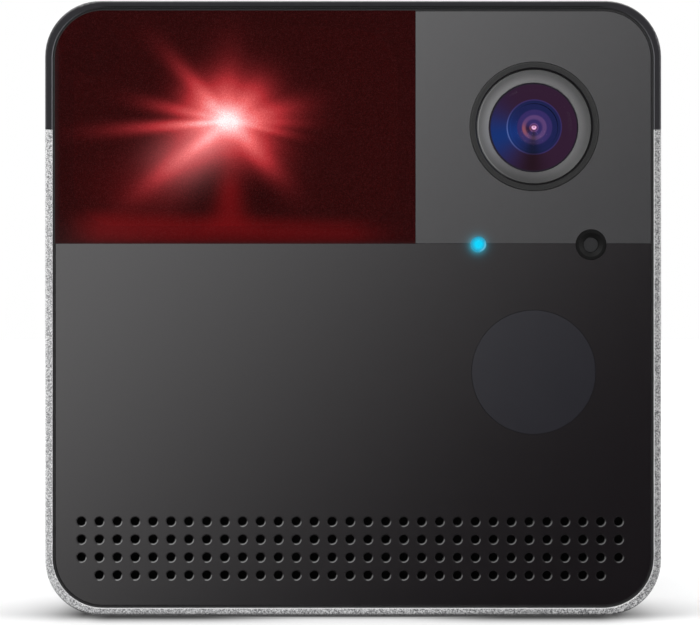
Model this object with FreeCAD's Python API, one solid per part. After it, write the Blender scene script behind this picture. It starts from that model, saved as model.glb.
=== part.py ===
# Pet camera: a cube-shaped home camera that watches a pet and plays with it by steering a red laser dot.
#
# A metal tray and a plastic cap make a square sleeve. Three flush panels on a carrier close the front:
# a dark one with the speaker grille, a grey one round the wide-angle lens, and the tinted laser window.
# The rear closes with a plastic cover that holds the main board, the power socket and the setup button.
# Behind the window a laser tilts in a yoke and the yoke pans on a shaft, each driven by a small gear motor.
#
# Lengths are in millimetres. +X is to the viewer's right, -Y is the front and +Z is up.
# The origin is on the surface that the camera stands on, under the middle of the case.

import FreeCAD, Part
import math
import os
from FreeCAD import Vector

# Case
case_width = 86.0
case_height = 85.8
case_depth = 79.0
case_corner = 7.8
opening_corner = 7.05
case_wall = 1.8
case_edge_round = 0.35
rim_width = 1.05
rim_chamfer = 0.12
cap_drop = 18.0
cap_seam = 0.06
lap_height = 2.4
lap_root = 0.5
lap_end_gap = 1.0
lap_gap = 0.08

# Standing face and tripod thread
foot_stand = 0.5
foot_thickness = 1.2
foot_side_inset = 10.0
foot_end_inset = 10.5
foot_corner = 9.0
foot_band = 5.0
foot_gap = 0.1
tripod_radius = 2.55
tripod_insert_radius = 4.4
tripod_insert_length = 8.5
tripod_waist_depth = 0.5
tripod_waist_ends = (0.4, 0.6)
tripod_access_radius = 3.7
tripod_boss_wall = 2.2
tripod_boss_roof = 1.5

# Front panels
panel_recess = 0.15
panel_thickness = 1.6
panel_gap = 0.3
panel_chamfer = 0.15
panel_seam = 0.05
split_drop = 33.9
camera_side_width = 34.3
carrier_thickness = 2.0
carrier_gap = 0.1
window_ledge = 2.5
window_ledge_corner = 6.0

# Speaker grille
grille_side_margin = 5.4
grille_rows = 4
grille_spacing = 2.5
grille_hole_radius = 0.6
grille_chamfer = 0.16
grille_x = -0.45
grille_height = 5.6
mesh_thickness = 0.3
mesh_margin = 1.2

# Camera lens
lens_inset = 17.7
lens_drop = 17.55
trim_radius = 9.0
trim_width = 0.9
trim_proud = 0.1
trim_bevel = 0.15
bezel_drop = 0.35
bezel_slope_depth = 1.7
bezel_length = 2.65
bezel_edge = 0.15
bezel_edge_depth = 0.1
bezel_bow = 0.25
bezel_bow_depth = 0.15
glass_radius = 6.2
glass_gap = 0.1
glass_crown = 1.5
glass_drop = 0.9
glass_thickness = 3.1
glass_hollow = 1.8
glass_land = 1.0
glass_seat_width = 0.8
barrel_head_wall = 0.75
barrel_head_length = 3.4
barrel_radius = 6.0
barrel_length = 14.0
barrel_rear_gap = 1.4
barrel_stop_step = 0.3
barrel_rear_step = 0.5
inner_lens_radii = (3.7, 2.5)
inner_lens_thickness = 2.2
inner_lens_crown = 0.6
inner_lens_spacing = 1.2
holder_width = 16.0
holder_tube_radius = 7.6
holder_gap = 0.2
holder_depth = 4.6
holder_wall = 1.2
camera_board_thickness = 1.2
camera_post_radius = 2.0
camera_post_gap = 1.0
sensor_chip_width = 7.0
sensor_chip_thickness = 1.0

# Day and night filter
filter_window = 5.6
filter_travel = 6.6
filter_frame = 0.6
filter_thickness = 0.8
filter_gap = 0.15
filter_arm_length = 2.2
filter_arm_height = 1.6
filter_glass_inset = 0.1
filter_rod_radius = 0.7
filter_rod_length = 8.0
filter_rod_edge = 0.1
solenoid_width = 4.0
solenoid_height = 6.0

# Status light, light sensor and infrared window
status_inset = 25.5
status_drop = 34.0
status_radius = 1.05
sensor_inset = 9.8
sensor_drop = 34.05
sensor_radius = 2.1
sensor_lens_radius = 1.05
sensor_lens_drop = 0.5
sensor_rim = 0.4
ir_inset = 17.8
ir_height = 33.95
ir_radius = 8.64
ir_ledge = 1.0
ir_led_offset = 3.6
ir_led_width = 3.2
ir_led_base = 0.7
ir_dome_radius = 1.3
front_board_width = 26.0
front_board_gap = 1.0
front_board_rise = 4.3
front_board_thickness = 1.2
front_board_standoff = 3.75
front_boss_radius = 2.0
front_boss_inset = 2.4
chip_height = 0.8
pipe_gap = 0.05
pipe_flange = 0.5

# Speaker
speaker_width = 44.0
speaker_height = 19.6
speaker_wall = 1.2
speaker_floor = 1.0
speaker_lift = 0.3
surround_roll = 1.1
surround_thickness = 0.3
surround_drop = 1.3
cone_depth = 3.0
cone_slope = 0.73
cone_thickness = 0.5
cone_travel = 0.5
cone_floor_gap = 0.4
coil_radius = 4.6
coil_wall = 0.4
coil_length = 4.4
magnet_radius = 7.2
magnet_depth = 6.6
magnet_gap = 0.6
magnet_wall = 1.5

# Laser chamber
chamber_wall = 1.2
shelf_thickness = 1.6
shroud_gap = 0.1
shroud_corner_gap = 0.3
shroud_corner = 1.0
shelf_ledge = 3.0
shelf_leg_width = 3.4
shelf_leg_depth = 3.0

# Laser gimbal
laser_inset = 25.85
laser_drop = 17.0
gimbal_setback = 24.5
laser_radius = 4.0
laser_reach = 9.0
laser_tail = 5.0
laser_tail_wall = 2.0
laser_nose_step = 0.6
laser_nose_length = 1.5
laser_lens_radius = 2.4
laser_lens_thickness = 1.2
laser_lens_crown = 0.5
laser_lens_drop = 0.6
laser_lens_ledge = 0.5
laser_board_thickness = 1.2
laser_board_inset = 0.3
cradle_width = 13.0
cradle_depth = 7.6
cradle_height = 11.0
cradle_chamfer = 1.0
trunnion_radius = 1.5
trunnion_shoulder_radius = 2.6
trunnion_proud = 0.4
running_gap = 0.05
side_gap = 0.2
yoke_span = 16.0
yoke_arm = 1.6
yoke_plate = 1.6
yoke_plate_depth = 12.0
yoke_eye_radius = 4.0
yoke_lug_rim = 0.6
pan_shaft_radius = 2.0
pan_bush_wall = 1.0
pan_bush_flange = 0.6
pan_bush_flange_radius = 4.2
pan_boss_length = 4.0
pan_boss_radius = 4.6
clip_radius = 3.4
clip_thickness = 0.5
clip_groove = 0.4
clip_mouth = 1.8
shaft_end = 1.0

# Gears and motors
pan_module = 0.5
pan_teeth = 48
pan_pinion_teeth = 12
tilt_module = 0.4
tilt_teeth = 48
tilt_pinion_teeth = 12
gear_thickness = 2.4
pinion_thickness = 2.8
pinion_shaft_proud = 0.3
pressure_angle = 20.0
tooth_tip = 0.9
tooth_root = 1.2
gear_backlash = 0.07
tilt_sector_angle = 150.0
gear_holes = 6
gear_hole_place = 0.6
gear_hole_size = 0.17
motor_shaft_radius = 0.75
pan_motor_radius = 7.5
pan_motor_length = 10.5
tilt_motor_radius = 4.0
tilt_motor_length = 5.5
motor_boss_radius = 2.2
motor_boss_length = 0.8
motor_end_wall = 1.0
motor_shaft_gap = 1.0
motor_ear_span = 20.0
motor_ear_width = 5.0
motor_ear_thickness = 0.8

# Chassis and fasteners
chassis_gap = 0.2
chassis_wall = 1.5
screw_inset = 6.8
front_screw_height = 19.5
screw_boss_radius = 3.6
screw_boss_length = 8.5
screw_radius = 1.25
screw_head_radius = 2.3
screw_head_depth = 1.3
screw_length = 8.0
small_screw_radius = 0.9
small_screw_head_radius = 1.7
small_screw_head_height = 1.2
small_screw_length = 4.0
small_screw_shoulder = 0.4
small_screw_crown_radius = 0.7
small_screw_crown_drop = 0.2
screw_spare = 0.2
screw_hole_gap = 0.04
recess_width = 0.5
recess_depth = 0.7
recess_reach = 1.3

# Rear cover, main board, power socket and setup button
cover_recess = 0.2
cover_thickness = 2.4
cover_gap = 0.15
board_side_gap = 11.0
board_bottom = 10.0
board_drop = 13.8
board_thickness = 1.6
board_setback = 7.3
board_corner = 2.0
board_boss_radius = 2.5
board_boss_inset = 3.0
port_x = 0.0
port_height = 19.0
port_width = 16.0
port_tall = 9.4
port_corner = 2.4
port_depth = 4.6
port_wall = 1.2
plug_shell_width = 8.94
plug_shell_height = 3.26
plug_shell_wall = 0.3
plug_tongue_width = 6.7
plug_tongue_height = 0.7
plug_gap = 0.15
socket_end_gap = 0.1
socket_floor = 0.8
plug_tongue_root = 0.4
plug_tongue_drop = 0.6
button_x = 18.0
button_height = 19.0
button_radius = 3.2
button_gap = 0.15
button_drop = 0.15
button_edge = 0.3
button_dish = 0.3
button_travel = 0.5
button_flange = 0.8
button_flange_thickness = 1.0
button_guide_gap = 0.4
button_guide_wall = 1.35
button_stem_radius = 1.3
switch_width = 6.0
switch_height = 2.2
plunger_radius = 1.6
plunger_gap = 0.1
plunger_height = 1.4
plunger_foot = 0.6
vent_columns = 2
vent_rows = 6
vent_width = 20.0
vent_height = 1.4
vent_spacing = 3.2
vent_drop = 12.0
shield_width = 26.0
shield_height = 3.0
shield_x = -10.0
shield_drop = 20.0
shield_corner = 1.5
sink_base = 1.5
sink_fins = 7
sink_fin_thickness = 1.0
sink_fin_height = 4.0
sink_inset = 1.0
sink_gap = 5.75
antenna_width = 24.0
antenna_depth = 9.0
antenna_thickness = 0.4
antenna_side_gap = 1.0

# Leads and ribbons
lead_diameter = 1.1
lead_leg_gap = 4.05
lead_spacing = 1.6
lead_straight = 7.0
lead_run = 18.2
lead_rise = 1.5
lead_edge = 5.0
ribbon_width = 8.0
ribbon_thickness = 0.3
ribbon_drop = 4.0
ribbon_straight = 0.15
ribbon_dip = 0.35
front_ribbon_rise = 4.6
plug_block_depth = 2.4
plug_block_height = 2.0
plug_block_side = 1.0
bend_share = 0.45

# How far a cutter reaches past what it cuts
past = 1.0

# Places worked out from the sizes above
underside = foot_stand
case_top = underside + case_height
case_mid = underside + case_height / 2
front = -case_depth / 2
rear = case_depth / 2
panel_front = front + panel_recess
carrier_front = panel_front + panel_thickness
carrier_back = carrier_front + carrier_thickness
cover_back = rear - cover_recess
cover_front = cover_back - cover_thickness
joint_z = case_top - cap_drop
split_z = case_top - split_drop
window_edge_x = case_width / 2 - camera_side_width
foot_width = case_width - 2 * foot_side_inset
foot_depth = case_depth - 2 * foot_end_inset
grille_columns = int((case_width - 2 * grille_side_margin) / grille_spacing) + 1
inner_side = case_width / 2 - case_wall
inner_floor = underside + case_wall
inner_roof = case_top - case_wall
chassis_side = inner_side - chassis_gap
chassis_floor = inner_floor + chassis_gap
chassis_roof = inner_roof - chassis_gap
hold_side = chassis_side - chassis_wall
hold_floor = chassis_floor + chassis_wall
hold_roof = chassis_roof - chassis_wall
lens_x = case_width / 2 - lens_inset
lens_z = case_top - lens_drop
status_x = case_width / 2 - status_inset
status_z = case_top - status_drop
sensor_x = case_width / 2 - sensor_inset
sensor_z = case_top - sensor_drop
ir_x = case_width / 2 - ir_inset
ir_z = underside + ir_height
grille_z = underside + grille_height
laser_x = laser_inset - case_width / 2
laser_z = case_top - laser_drop
pan_y = front + gimbal_setback
screw_x = case_width / 2 - screw_inset
low_screw_z = underside + screw_inset
high_screw_z = case_top - screw_inset
front_screw_z = underside + front_screw_height
board_width = case_width - 2 * board_side_gap
board_low = underside + board_bottom
board_high = case_top - board_drop
board_back = cover_front - board_setback
board_front = board_back - board_thickness
shield_z = board_high - shield_drop
sink_front = board_front - shield_height - sink_base - sink_fin_height
port_floor = cover_back - port_depth
port_z = underside + port_height
button_z = underside + button_height
front_board_front = carrier_back + front_board_standoff
front_board_back = front_board_front + front_board_thickness
speaker_z = hold_floor + speaker_lift + speaker_height / 2
speaker_depth = surround_drop + cone_depth + cone_travel + cone_floor_gap + speaker_floor
front_board_low = speaker_z + speaker_height / 2 + front_board_gap
front_board_high = status_z + front_board_rise
front_ribbon_z = front_board_low + front_ribbon_rise
bezel_radius = glass_radius + glass_gap
barrel_head_radius = glass_radius + pipe_gap + barrel_head_wall
holder_back = carrier_front + bezel_length + barrel_length + sensor_chip_thickness
camera_board_back = holder_back + camera_board_thickness
camera_board_width = holder_width + 2 * (2 * camera_post_radius + camera_post_gap)
shelf_top = split_z
shelf_bottom = shelf_top - shelf_thickness
chamber_right = window_edge_x + panel_seam + chamber_wall
lead_x = chamber_right + lead_leg_gap
chamber_back = sink_front - sink_gap - chamber_wall
pan_gear_bottom = shelf_top + pan_bush_flange + 2 * running_gap
pan_gear_top = pan_gear_bottom + gear_thickness
yoke_top = pan_gear_top + yoke_plate
pan_radius = pan_module * pan_teeth / 2
pan_pinion_radius = pan_module * pan_pinion_teeth / 2
pan_motor_y = pan_y + pan_radius + pan_pinion_radius
tilt_radius = tilt_module * tilt_teeth / 2
tilt_pinion_radius = tilt_module * tilt_pinion_teeth / 2
tilt_motor_y = pan_y + tilt_radius + tilt_pinion_radius
left_arm_inside = laser_x - yoke_span / 2
left_arm_outside = left_arm_inside - yoke_arm
right_arm_inside = laser_x + yoke_span / 2
right_arm_outside = right_arm_inside + yoke_arm
tilt_gear_right = left_arm_outside - side_gap
tilt_gear_left = tilt_gear_right - gear_thickness

AXES = {"X": Vector(1, 0, 0), "Y": Vector(0, 1, 0), "Z": Vector(0, 0, 1)}


def place(axis, across, up, along):
    """Point from two coordinates in the plane square to an axis and one along it."""
    if axis == "X":
        return Vector(along, across, up)
    if axis == "Y":
        return Vector(across, along, up)
    return Vector(across, up, along)


def edges_from(to_point, start, steps):
    """Closed chain of edges. A step is a corner, or a pair: a point on an arc and the arc's end."""
    edges = []
    first = to_point(*start)
    here = first
    for step in list(steps) + [start]:
        if isinstance(step[0], tuple):
            end = to_point(*step[1])
            edges.append(Part.Arc(here, to_point(*step[0]), end).toShape())
        else:
            end = to_point(*step)
            if end.distanceToPoint(here) > 1e-6:
                edges.append(Part.LineSegment(here, end).toShape())
        here = end
    return Part.Wire(edges)


def prism(axis, start, steps, low, high):
    """Solid between two places along an axis, with the outline given in the plane square to it."""
    wire = edges_from(lambda a, b: place(axis, a, b, low), start, steps)
    return Part.Face(wire).extrude(AXES[axis] * (high - low))


def turned(axis, across, up, start, steps):
    """Solid of revolution about the axis through (across, up). Corners are (radius, place along it)."""
    wire = edges_from(lambda r, a: place(axis, across + r, up, a), start, steps)
    return Part.Face(wire).revolve(place(axis, across, up, 0), AXES[axis], 360)


def block(x, y, z):
    """Box from three pairs of limits."""
    return Part.makeBox(x[1] - x[0], y[1] - y[0], z[1] - z[0], Vector(x[0], y[0], z[0]))


def rod(axis, radius, across, up, low, high):
    return Part.makeCylinder(radius, high - low, place(axis, across, up, low), AXES[axis])


def ring(axis, outer, inner, across, up, low, high):
    return rod(axis, outer, across, up, low, high).cut(rod(axis, inner, across, up, low, high))


def half_round(size):
    """Corner radius that leaves all but no straight between two corners."""
    return size / 2 - 0.001


def rounded_outline(width, height, radius, across, up):
    """Start and steps of a rectangle with round corners."""
    left, right = across - width / 2, across + width / 2
    low, high = up - height / 2, up + height / 2
    bow = radius * (1 - math.sqrt(0.5))
    steps = [
        (right - radius, low),
        ((right - bow, low + bow), (right, low + radius)),
        (right, high - radius),
        ((right - bow, high - bow), (right - radius, high)),
        (left + radius, high),
        ((left + bow, high - bow), (left, high - radius)),
        (left, low + radius),
        ((left + bow, low + bow), (left + radius, low)),
    ]
    return (left + radius, low), steps


def rounded_block(axis, width, height, radius, across, up, low, high):
    start, steps = rounded_outline(width, height, radius, across, up)
    return prism(axis, start, steps, low, high)


def flared_block(axis, width, height, radius, flare, across, up, low, high):
    """Rounded block that is wider by the flare all round at its low end than at its high end."""
    wires = []
    for extra, at in ((flare, low), (0, high)):
        start, steps = rounded_outline(
            width + 2 * extra, height + 2 * extra, radius + extra, across, up
        )
        wires.append(edges_from(lambda a, b, at=at: place(axis, a, b, at), start, steps))
    return Part.makeLoft(wires, True, True)


def sag(radius, crown, out):
    """Fall of a ball-shaped face of that radius and crown, at a distance out from its axis."""
    ball = (radius ** 2 + crown ** 2) / (2 * crown)
    return ball - math.sqrt(ball ** 2 - out ** 2)


def bent_path(points):
    """Straight runs joined by tangent arcs, each as large as its two runs allow."""
    edges = []
    here = points[0]
    for before, corner, after in zip(points, points[1:], points[2:]):
        back = (before - corner).normalize()
        ahead = (after - corner).normalize()
        reach = bend_share * min((before - corner).Length, (after - corner).Length)
        half_turn = (math.pi - back.getAngle(ahead)) / 2
        radius = reach / math.tan(half_turn)
        print(f"bend radius {radius:.1f} mm")
        inward = (back + ahead).normalize()
        middle = corner + inward * (radius / math.cos(half_turn) - radius)
        edges.append(Part.LineSegment(here, corner + back * reach).toShape())
        edges.append(Part.Arc(corner + back * reach, middle, corner + ahead * reach).toShape())
        here = corner + ahead * reach
    edges.append(Part.LineSegment(here, points[-1]).toShape())
    return Part.Wire(edges)


def lead(points, diameter):
    """Round lead along a bent path."""
    path = bent_path(points)
    circle = Part.Wire(Part.Circle(points[0], points[1] - points[0], diameter / 2).toShape())
    return path.makePipeShell([circle], True, False)


def ribbon(points, width, thickness):
    """Flat ribbon along a bent path that lies in a plane square to X and leaves along Y."""
    half_w, half_t = width / 2, thickness / 2
    first = points[0]
    corners = [
        first + Vector(-half_w, 0, -half_t),
        first + Vector(half_w, 0, -half_t),
        first + Vector(half_w, 0, half_t),
        first + Vector(-half_w, 0, half_t),
    ]
    return bent_path(points).makePipeShell([Part.makePolygon(corners + corners[:1])], True, False)


def both_sides(shape):
    """The shape and its mirror image across the middle plane."""
    return [shape, shape.mirror(Vector(0, 0, 0), AXES["X"])]


# Gears


def involute_gear(module, teeth, thickness):
    """Spur gear on the Z axis, standing on z = 0, with a tooth centred on +X and arcs for flanks."""
    pitch = module * teeth / 2
    base = pitch * math.cos(math.radians(pressure_angle))
    tip = pitch + tooth_tip * module
    root = pitch - tooth_root * module
    half_tooth = math.pi / (2 * teeth) - gear_backlash / (4 * pitch)

    def roll(radius):
        """Angle by which the involute has turned from the base circle at a radius."""
        ratio = max(radius / base, 1.0)
        return math.sqrt(ratio * ratio - 1) - math.acos(1 / ratio)

    def at(radius, angle):
        return Vector(radius * math.cos(angle), radius * math.sin(angle), 0)

    edges = []
    flank_start = max(base, root)
    for n in range(teeth):
        middle = 2 * math.pi * n / teeth
        next_middle = 2 * math.pi * (n + 1) / teeth

        def side(radius):
            return half_tooth + roll(pitch) - roll(radius)

        radii = (flank_start, (flank_start + tip) / 2, tip)
        rise = [at(r, middle - side(r)) for r in radii]
        fall = [at(r, middle + side(r)) for r in reversed(radii)]
        low_angle = side(flank_start)
        foot_in = at(root, middle - low_angle)
        foot_out = at(root, middle + low_angle)
        next_foot = at(root, next_middle - low_angle)
        if foot_in.distanceToPoint(rise[0]) > 1e-6:
            edges.append(Part.LineSegment(foot_in, rise[0]).toShape())
        edges.append(Part.Arc(*rise).toShape())
        edges.append(Part.Arc(rise[-1], at(tip, middle), fall[0]).toShape())
        edges.append(Part.Arc(*fall).toShape())
        if foot_out.distanceToPoint(fall[-1]) > 1e-6:
            edges.append(Part.LineSegment(fall[-1], foot_out).toShape())
        edges.append(Part.Arc(foot_out, at(root, (middle + next_middle) / 2), next_foot).toShape())
    return Part.Face(Part.Wire(edges)).extrude(Vector(0, 0, thickness))


def toward_rear(gear):
    """Turns a tooth from +X to +Y, about Z."""
    gear.rotate(Vector(0, 0, 0), AXES["Z"], 90)
    return gear


def half_pitch_off(gear, teeth):
    """Turns a gear by half a tooth, so that a gap and not a tooth faces its mate."""
    gear.rotate(Vector(0, 0, 0), AXES["Z"], 180.0 / teeth)
    return gear


def onto_x_axis(gear, x, y, z):
    """Lays a Z-axis gear over onto the X axis, keeping its +Y side where it is."""
    gear.rotate(Vector(0, 0, 0), AXES["Y"], 90)
    gear.translate(Vector(x, y, z))
    return gear


# Fasteners


def cross_recess(axis, across, up, head, inward):
    """Cutter for the cross in a screw head. inward is +1 or -1 along the axis."""
    low, high = sorted((head - inward * recess_depth, head + inward * recess_depth))
    bars = []
    for width, height in ((2 * recess_reach, recess_width), (recess_width, 2 * recess_reach)):
        corners = [
            (across + width / 2, up - height / 2),
            (across + width / 2, up + height / 2),
            (across - width / 2, up + height / 2),
        ]
        bars.append(prism(axis, (across - width / 2, up - height / 2), corners, low, high))
    return bars[0].fuse(bars[1])


def sunk_screw(across, up, head, inward):
    """Countersunk screw along Y whose flat head lies at head and whose point goes inward."""
    corners = [
        (screw_head_radius, head),
        (screw_radius, head + inward * screw_head_depth),
        (screw_radius, head + inward * (screw_length - screw_radius)),
        (0, head + inward * screw_length),
    ]
    body = turned("Y", across, up, (0, head), corners)
    return body.cut(cross_recess("Y", across, up, head, inward))


def sunk_hole(across, up, head, inward, depth):
    """Cutter that clears a countersunk screw through a plate."""
    clear = screw_hole_gap
    corners = [
        (screw_head_radius + clear, head - inward * past),
        (screw_head_radius + clear, head),
        (screw_radius + clear, head + inward * screw_head_depth),
        (screw_radius + clear, head + inward * depth),
        (0, head + inward * depth),
    ]
    return turned("Y", across, up, (0, head - inward * past), corners)


def pan_screw(axis, across, up, seat, inward):
    """Small pan-head screw. seat is where the underside of its head bears."""
    head = seat - inward * small_screw_head_height
    shoulder = seat - inward * small_screw_head_height * small_screw_shoulder
    crown = (small_screw_head_radius * small_screw_crown_radius, head + inward * small_screw_crown_drop)
    steps = [
        (crown, (small_screw_head_radius, shoulder)),
        (small_screw_head_radius, seat),
        (small_screw_radius, seat),
        (small_screw_radius, seat + inward * (small_screw_length - small_screw_radius)),
        (0, seat + inward * small_screw_length),
    ]
    body = turned(axis, across, up, (0, head), steps)
    return body.cut(cross_recess(axis, across, up, head, inward))


def small_hole(axis, across, up, low, high):
    return rod(axis, small_screw_radius + screw_hole_gap, across, up, low, high)


def corner_screw_places(lower_z):
    return [(side * screw_x, z) for side in (-1, 1) for z in (lower_z, high_screw_z)]


# Case


def case_sleeve():
    """The square sleeve that the metal tray and the plastic cap share, with a seat at each end."""
    outer = rounded_block("Y", case_width, case_height, case_corner, 0, case_mid, front, rear)
    rim_edges = [e for e in outer.Edges if e.BoundBox.YLength < 1e-6]
    outer = outer.makeFillet(case_edge_round, rim_edges)
    hollow = rounded_block(
        "Y", case_width - 2 * case_wall, case_height - 2 * case_wall, case_corner - case_wall,
        0, case_mid, front - past, rear + past,
    )
    seat = (case_width - 2 * rim_width, case_height - 2 * rim_width, opening_corner)
    front_seat = rounded_block("Y", *seat, 0, case_mid, front - past, carrier_back)
    rear_seat = rounded_block("Y", *seat, 0, case_mid, cover_front, rear + past)
    front_lip = flared_block("Y", *seat, rim_chamfer, 0, case_mid, front, front + rim_chamfer)
    rear_lip = front_lip.mirror(Vector(0, 0, 0), AXES["Y"])
    return outer.cut([hollow, front_seat, rear_seat, front_lip, rear_lip])


def lap_strip(outer_gap, height):
    """Inner half of the left side wall above the joint, where tray and cap overlap."""
    outside = -(case_width / 2 - case_wall / 2) + outer_gap
    return block(
        (outside, -inner_side),
        (carrier_back + lap_end_gap, cover_front - lap_end_gap),
        (joint_z - lap_root, joint_z + height),
    )


def foot_outline(extra):
    return (foot_width + 2 * extra, foot_depth + 2 * extra, foot_corner + extra)


def foot_ring(extra, low, high):
    """Band of the foot pad between two heights, wider by extra on both of its edges."""
    outer = rounded_block("Z", *foot_outline(extra), 0, 0, low, high)
    inner = rounded_block("Z", *foot_outline(-foot_band - extra), 0, 0, low - past, high + past)
    return outer.cut(inner)


def lower_housing():
    tray = case_sleeve().common(
        block((-case_width, case_width), (front - past, rear + past), (underside - past, joint_z))
    )
    tray = tray.fuse(both_sides(lap_strip(lap_gap, lap_height)))
    groove = foot_ring(foot_gap, underside - past, foot_thickness)
    access = rod("Z", tripod_access_radius, 0, 0, underside - past, inner_floor + past)
    return tray.cut([groove, access]).removeSplitter()


def top_cap():
    cap = case_sleeve().common(
        block(
            (-case_width, case_width), (front - past, rear + past), (joint_z + cap_seam, case_top + past)
        )
    )
    pocket = lap_strip(0, lap_height + lap_gap)
    pocket = pocket.fuse(pocket.translated(Vector(past, 0, 0)))
    return cap.cut(both_sides(pocket))


def foot_pad():
    return foot_ring(0, 0, foot_thickness)


def tripod_insert():
    """Brass nut pressed up into the chassis, with a round bore where the thread is."""
    low = chassis_floor
    body = ring(
        "Z", tripod_insert_radius, tripod_radius, 0, 0, low, low + tripod_insert_length
    )
    waist = ring(
        "Z", tripod_insert_radius + past, tripod_insert_radius - tripod_waist_depth, 0, 0,
        *(low + share * tripod_insert_length for share in tripod_waist_ends),
    )
    return body.cut(waist)


def chassis_frame():
    """Plastic tube inside the case, screwed to the carrier in front and the cover behind."""
    outer = rounded_block(
        "Y", 2 * chassis_side, chassis_roof - chassis_floor, case_corner - case_wall - chassis_gap,
        0, (chassis_roof + chassis_floor) / 2, carrier_back, cover_front,
    )
    inner = rounded_block(
        "Y", 2 * hold_side, hold_roof - hold_floor,
        case_corner - case_wall - chassis_gap - chassis_wall,
        0, (hold_roof + hold_floor) / 2, carrier_back - past, cover_front + past,
    )
    frame = outer.cut(inner)
    boss_ends = (
        (corner_screw_places(front_screw_z), carrier_back, carrier_back + screw_boss_length),
        (corner_screw_places(low_screw_z), cover_front - screw_boss_length, cover_front),
    )
    for places, low, high in boss_ends:
        bosses = [rod("Y", screw_boss_radius, x, z, low, high) for x, z in places]
        holes = [rod("Y", screw_radius + screw_hole_gap, x, z, low, high) for x, z in places]
        frame = frame.fuse([boss.common(outer) for boss in bosses]).cut(holes)
    boss_top = chassis_floor + tripod_insert_length + tripod_boss_roof
    boss = rod("Z", tripod_insert_radius + tripod_boss_wall, 0, 0, chassis_floor, boss_top)
    ledge = block(
        (-chassis_side + chassis_wall / 2, -hold_side + shelf_ledge),
        (carrier_back, chamber_back),
        (shelf_bottom - shelf_ledge, shelf_bottom),
    )
    insert_hole = rod(
        "Z", tripod_insert_radius, 0, 0, chassis_floor - past, chassis_floor + tripod_insert_length
    )
    return frame.fuse([boss, ledge]).cut(insert_hole).removeSplitter()


# Front


def panel_sheet():
    """The whole front sheet before it is divided, with its outer edge chamfered."""
    inset = rim_width + panel_gap
    size = (case_width - 2 * inset, case_height - 2 * inset, opening_corner - panel_gap)
    sheet = rounded_block("Y", *size, 0, case_mid, panel_front, carrier_front)
    edge = [e for e in sheet.Edges if abs(e.BoundBox.YMax - panel_front) < 1e-6]
    return sheet.makeChamfer(panel_chamfer, edge)


def small_round_holes():
    """The status light's and light sensor's holes, which lie across the line between the panels."""
    low, high = panel_front - past, carrier_back + past
    return [
        rod("Y", status_radius + pipe_gap, status_x, status_z, low, high),
        rod("Y", sensor_radius + pipe_gap, sensor_x, sensor_z, low, high),
    ]


def grille_places():
    """Hole centres. The lowest row has one hole fewer at each end, as the corners are round."""
    half = (grille_columns - 1) / 2
    places = []
    for row in range(grille_rows):
        for column in range(grille_columns):
            if row == 0 and column in (0, grille_columns - 1):
                continue
            x = grille_x + (column - half) * grille_spacing
            places.append((x, grille_z + row * grille_spacing))
    return places


def grille_hole(x, z):
    """Cutter for one speaker hole with a chamfered mouth."""
    corners = [
        (grille_hole_radius + grille_chamfer, panel_front - past),
        (grille_hole_radius + grille_chamfer, panel_front),
        (grille_hole_radius, panel_front + grille_chamfer),
        (grille_hole_radius, carrier_front + past),
        (0, carrier_front + past),
    ]
    return turned("Y", x, z, (0, panel_front - past), corners)


def front_panel():
    panel = panel_sheet().common(
        block(
            (-case_width, case_width),
            (front - past, carrier_back),
            (underside, split_z - panel_seam / 2),
        )
    )
    ir_hole = rod("Y", ir_radius + pipe_gap, ir_x, ir_z, panel_front - past, carrier_front + past)
    holes = [grille_hole(x, z) for x, z in grille_places()]
    return panel.cut([ir_hole] + small_round_holes() + holes)


def camera_panel():
    panel = panel_sheet().common(
        block(
            (window_edge_x + panel_seam / 2, case_width),
            (front - past, carrier_back),
            (split_z + panel_seam / 2, case_top),
        )
    )
    lens_hole = rod(
        "Y", trim_radius + pipe_gap, lens_x, lens_z, panel_front - past, carrier_front + past
    )
    return panel.cut([lens_hole] + small_round_holes())


def laser_window():
    return panel_sheet().common(
        block(
            (-case_width, window_edge_x - panel_seam / 2),
            (front - past, carrier_back),
            (split_z + panel_seam / 2, case_top),
        )
    )


def ir_window():
    return rod("Y", ir_radius, ir_x, ir_z, panel_front, carrier_front)


def front_board_bosses():
    low_z = front_board_low + front_boss_inset
    half = front_board_width / 2 - front_boss_inset
    high_z = front_board_high - front_boss_inset
    return [(ir_x - half, low_z), (ir_x + half, low_z), (ir_x, high_z)]


def camera_board_ends():
    """Lower and upper edge of the camera board, which are the lens holder's too."""
    low = filter_low() - filter_gap - holder_wall
    high = filter_low() + filter_height() + filter_travel + filter_gap + holder_wall
    return low, high


def camera_posts():
    """Posts at two opposite corners of the camera board, clear of the filter's rod."""
    half = camera_board_width / 2 - camera_post_radius
    low, high = camera_board_ends()
    return [(lens_x - half, high - camera_post_radius), (lens_x + half, low + camera_post_radius)]


def grille_slot(margin, low, high):
    """Racetrack block behind the grille holes."""
    width = (grille_columns - 1) * grille_spacing + 2 * (grille_hole_radius + margin)
    height = (grille_rows - 1) * grille_spacing + 2 * (grille_hole_radius + margin)
    middle = grille_z + (grille_rows - 1) * grille_spacing / 2
    return rounded_block("Y", width, height, height / 3, grille_x, middle, low, high)


def window_opening():
    """Cutter for the carrier's opening behind the laser window, with an ear left for the corner screw."""
    low, high = carrier_front - past, carrier_back + past
    left = -(case_width / 2 - rim_width - panel_gap)
    top = case_top - rim_width - panel_gap
    opening = rounded_block(
        "Y", window_edge_x - left - 2 * window_ledge, top - split_z - 2 * window_ledge,
        window_ledge_corner, (window_edge_x + left) / 2, (top + split_z) / 2, low, high,
    )
    return opening.cut(rod("Y", screw_boss_radius, -screw_x, high_screw_z, low, high))


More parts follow.
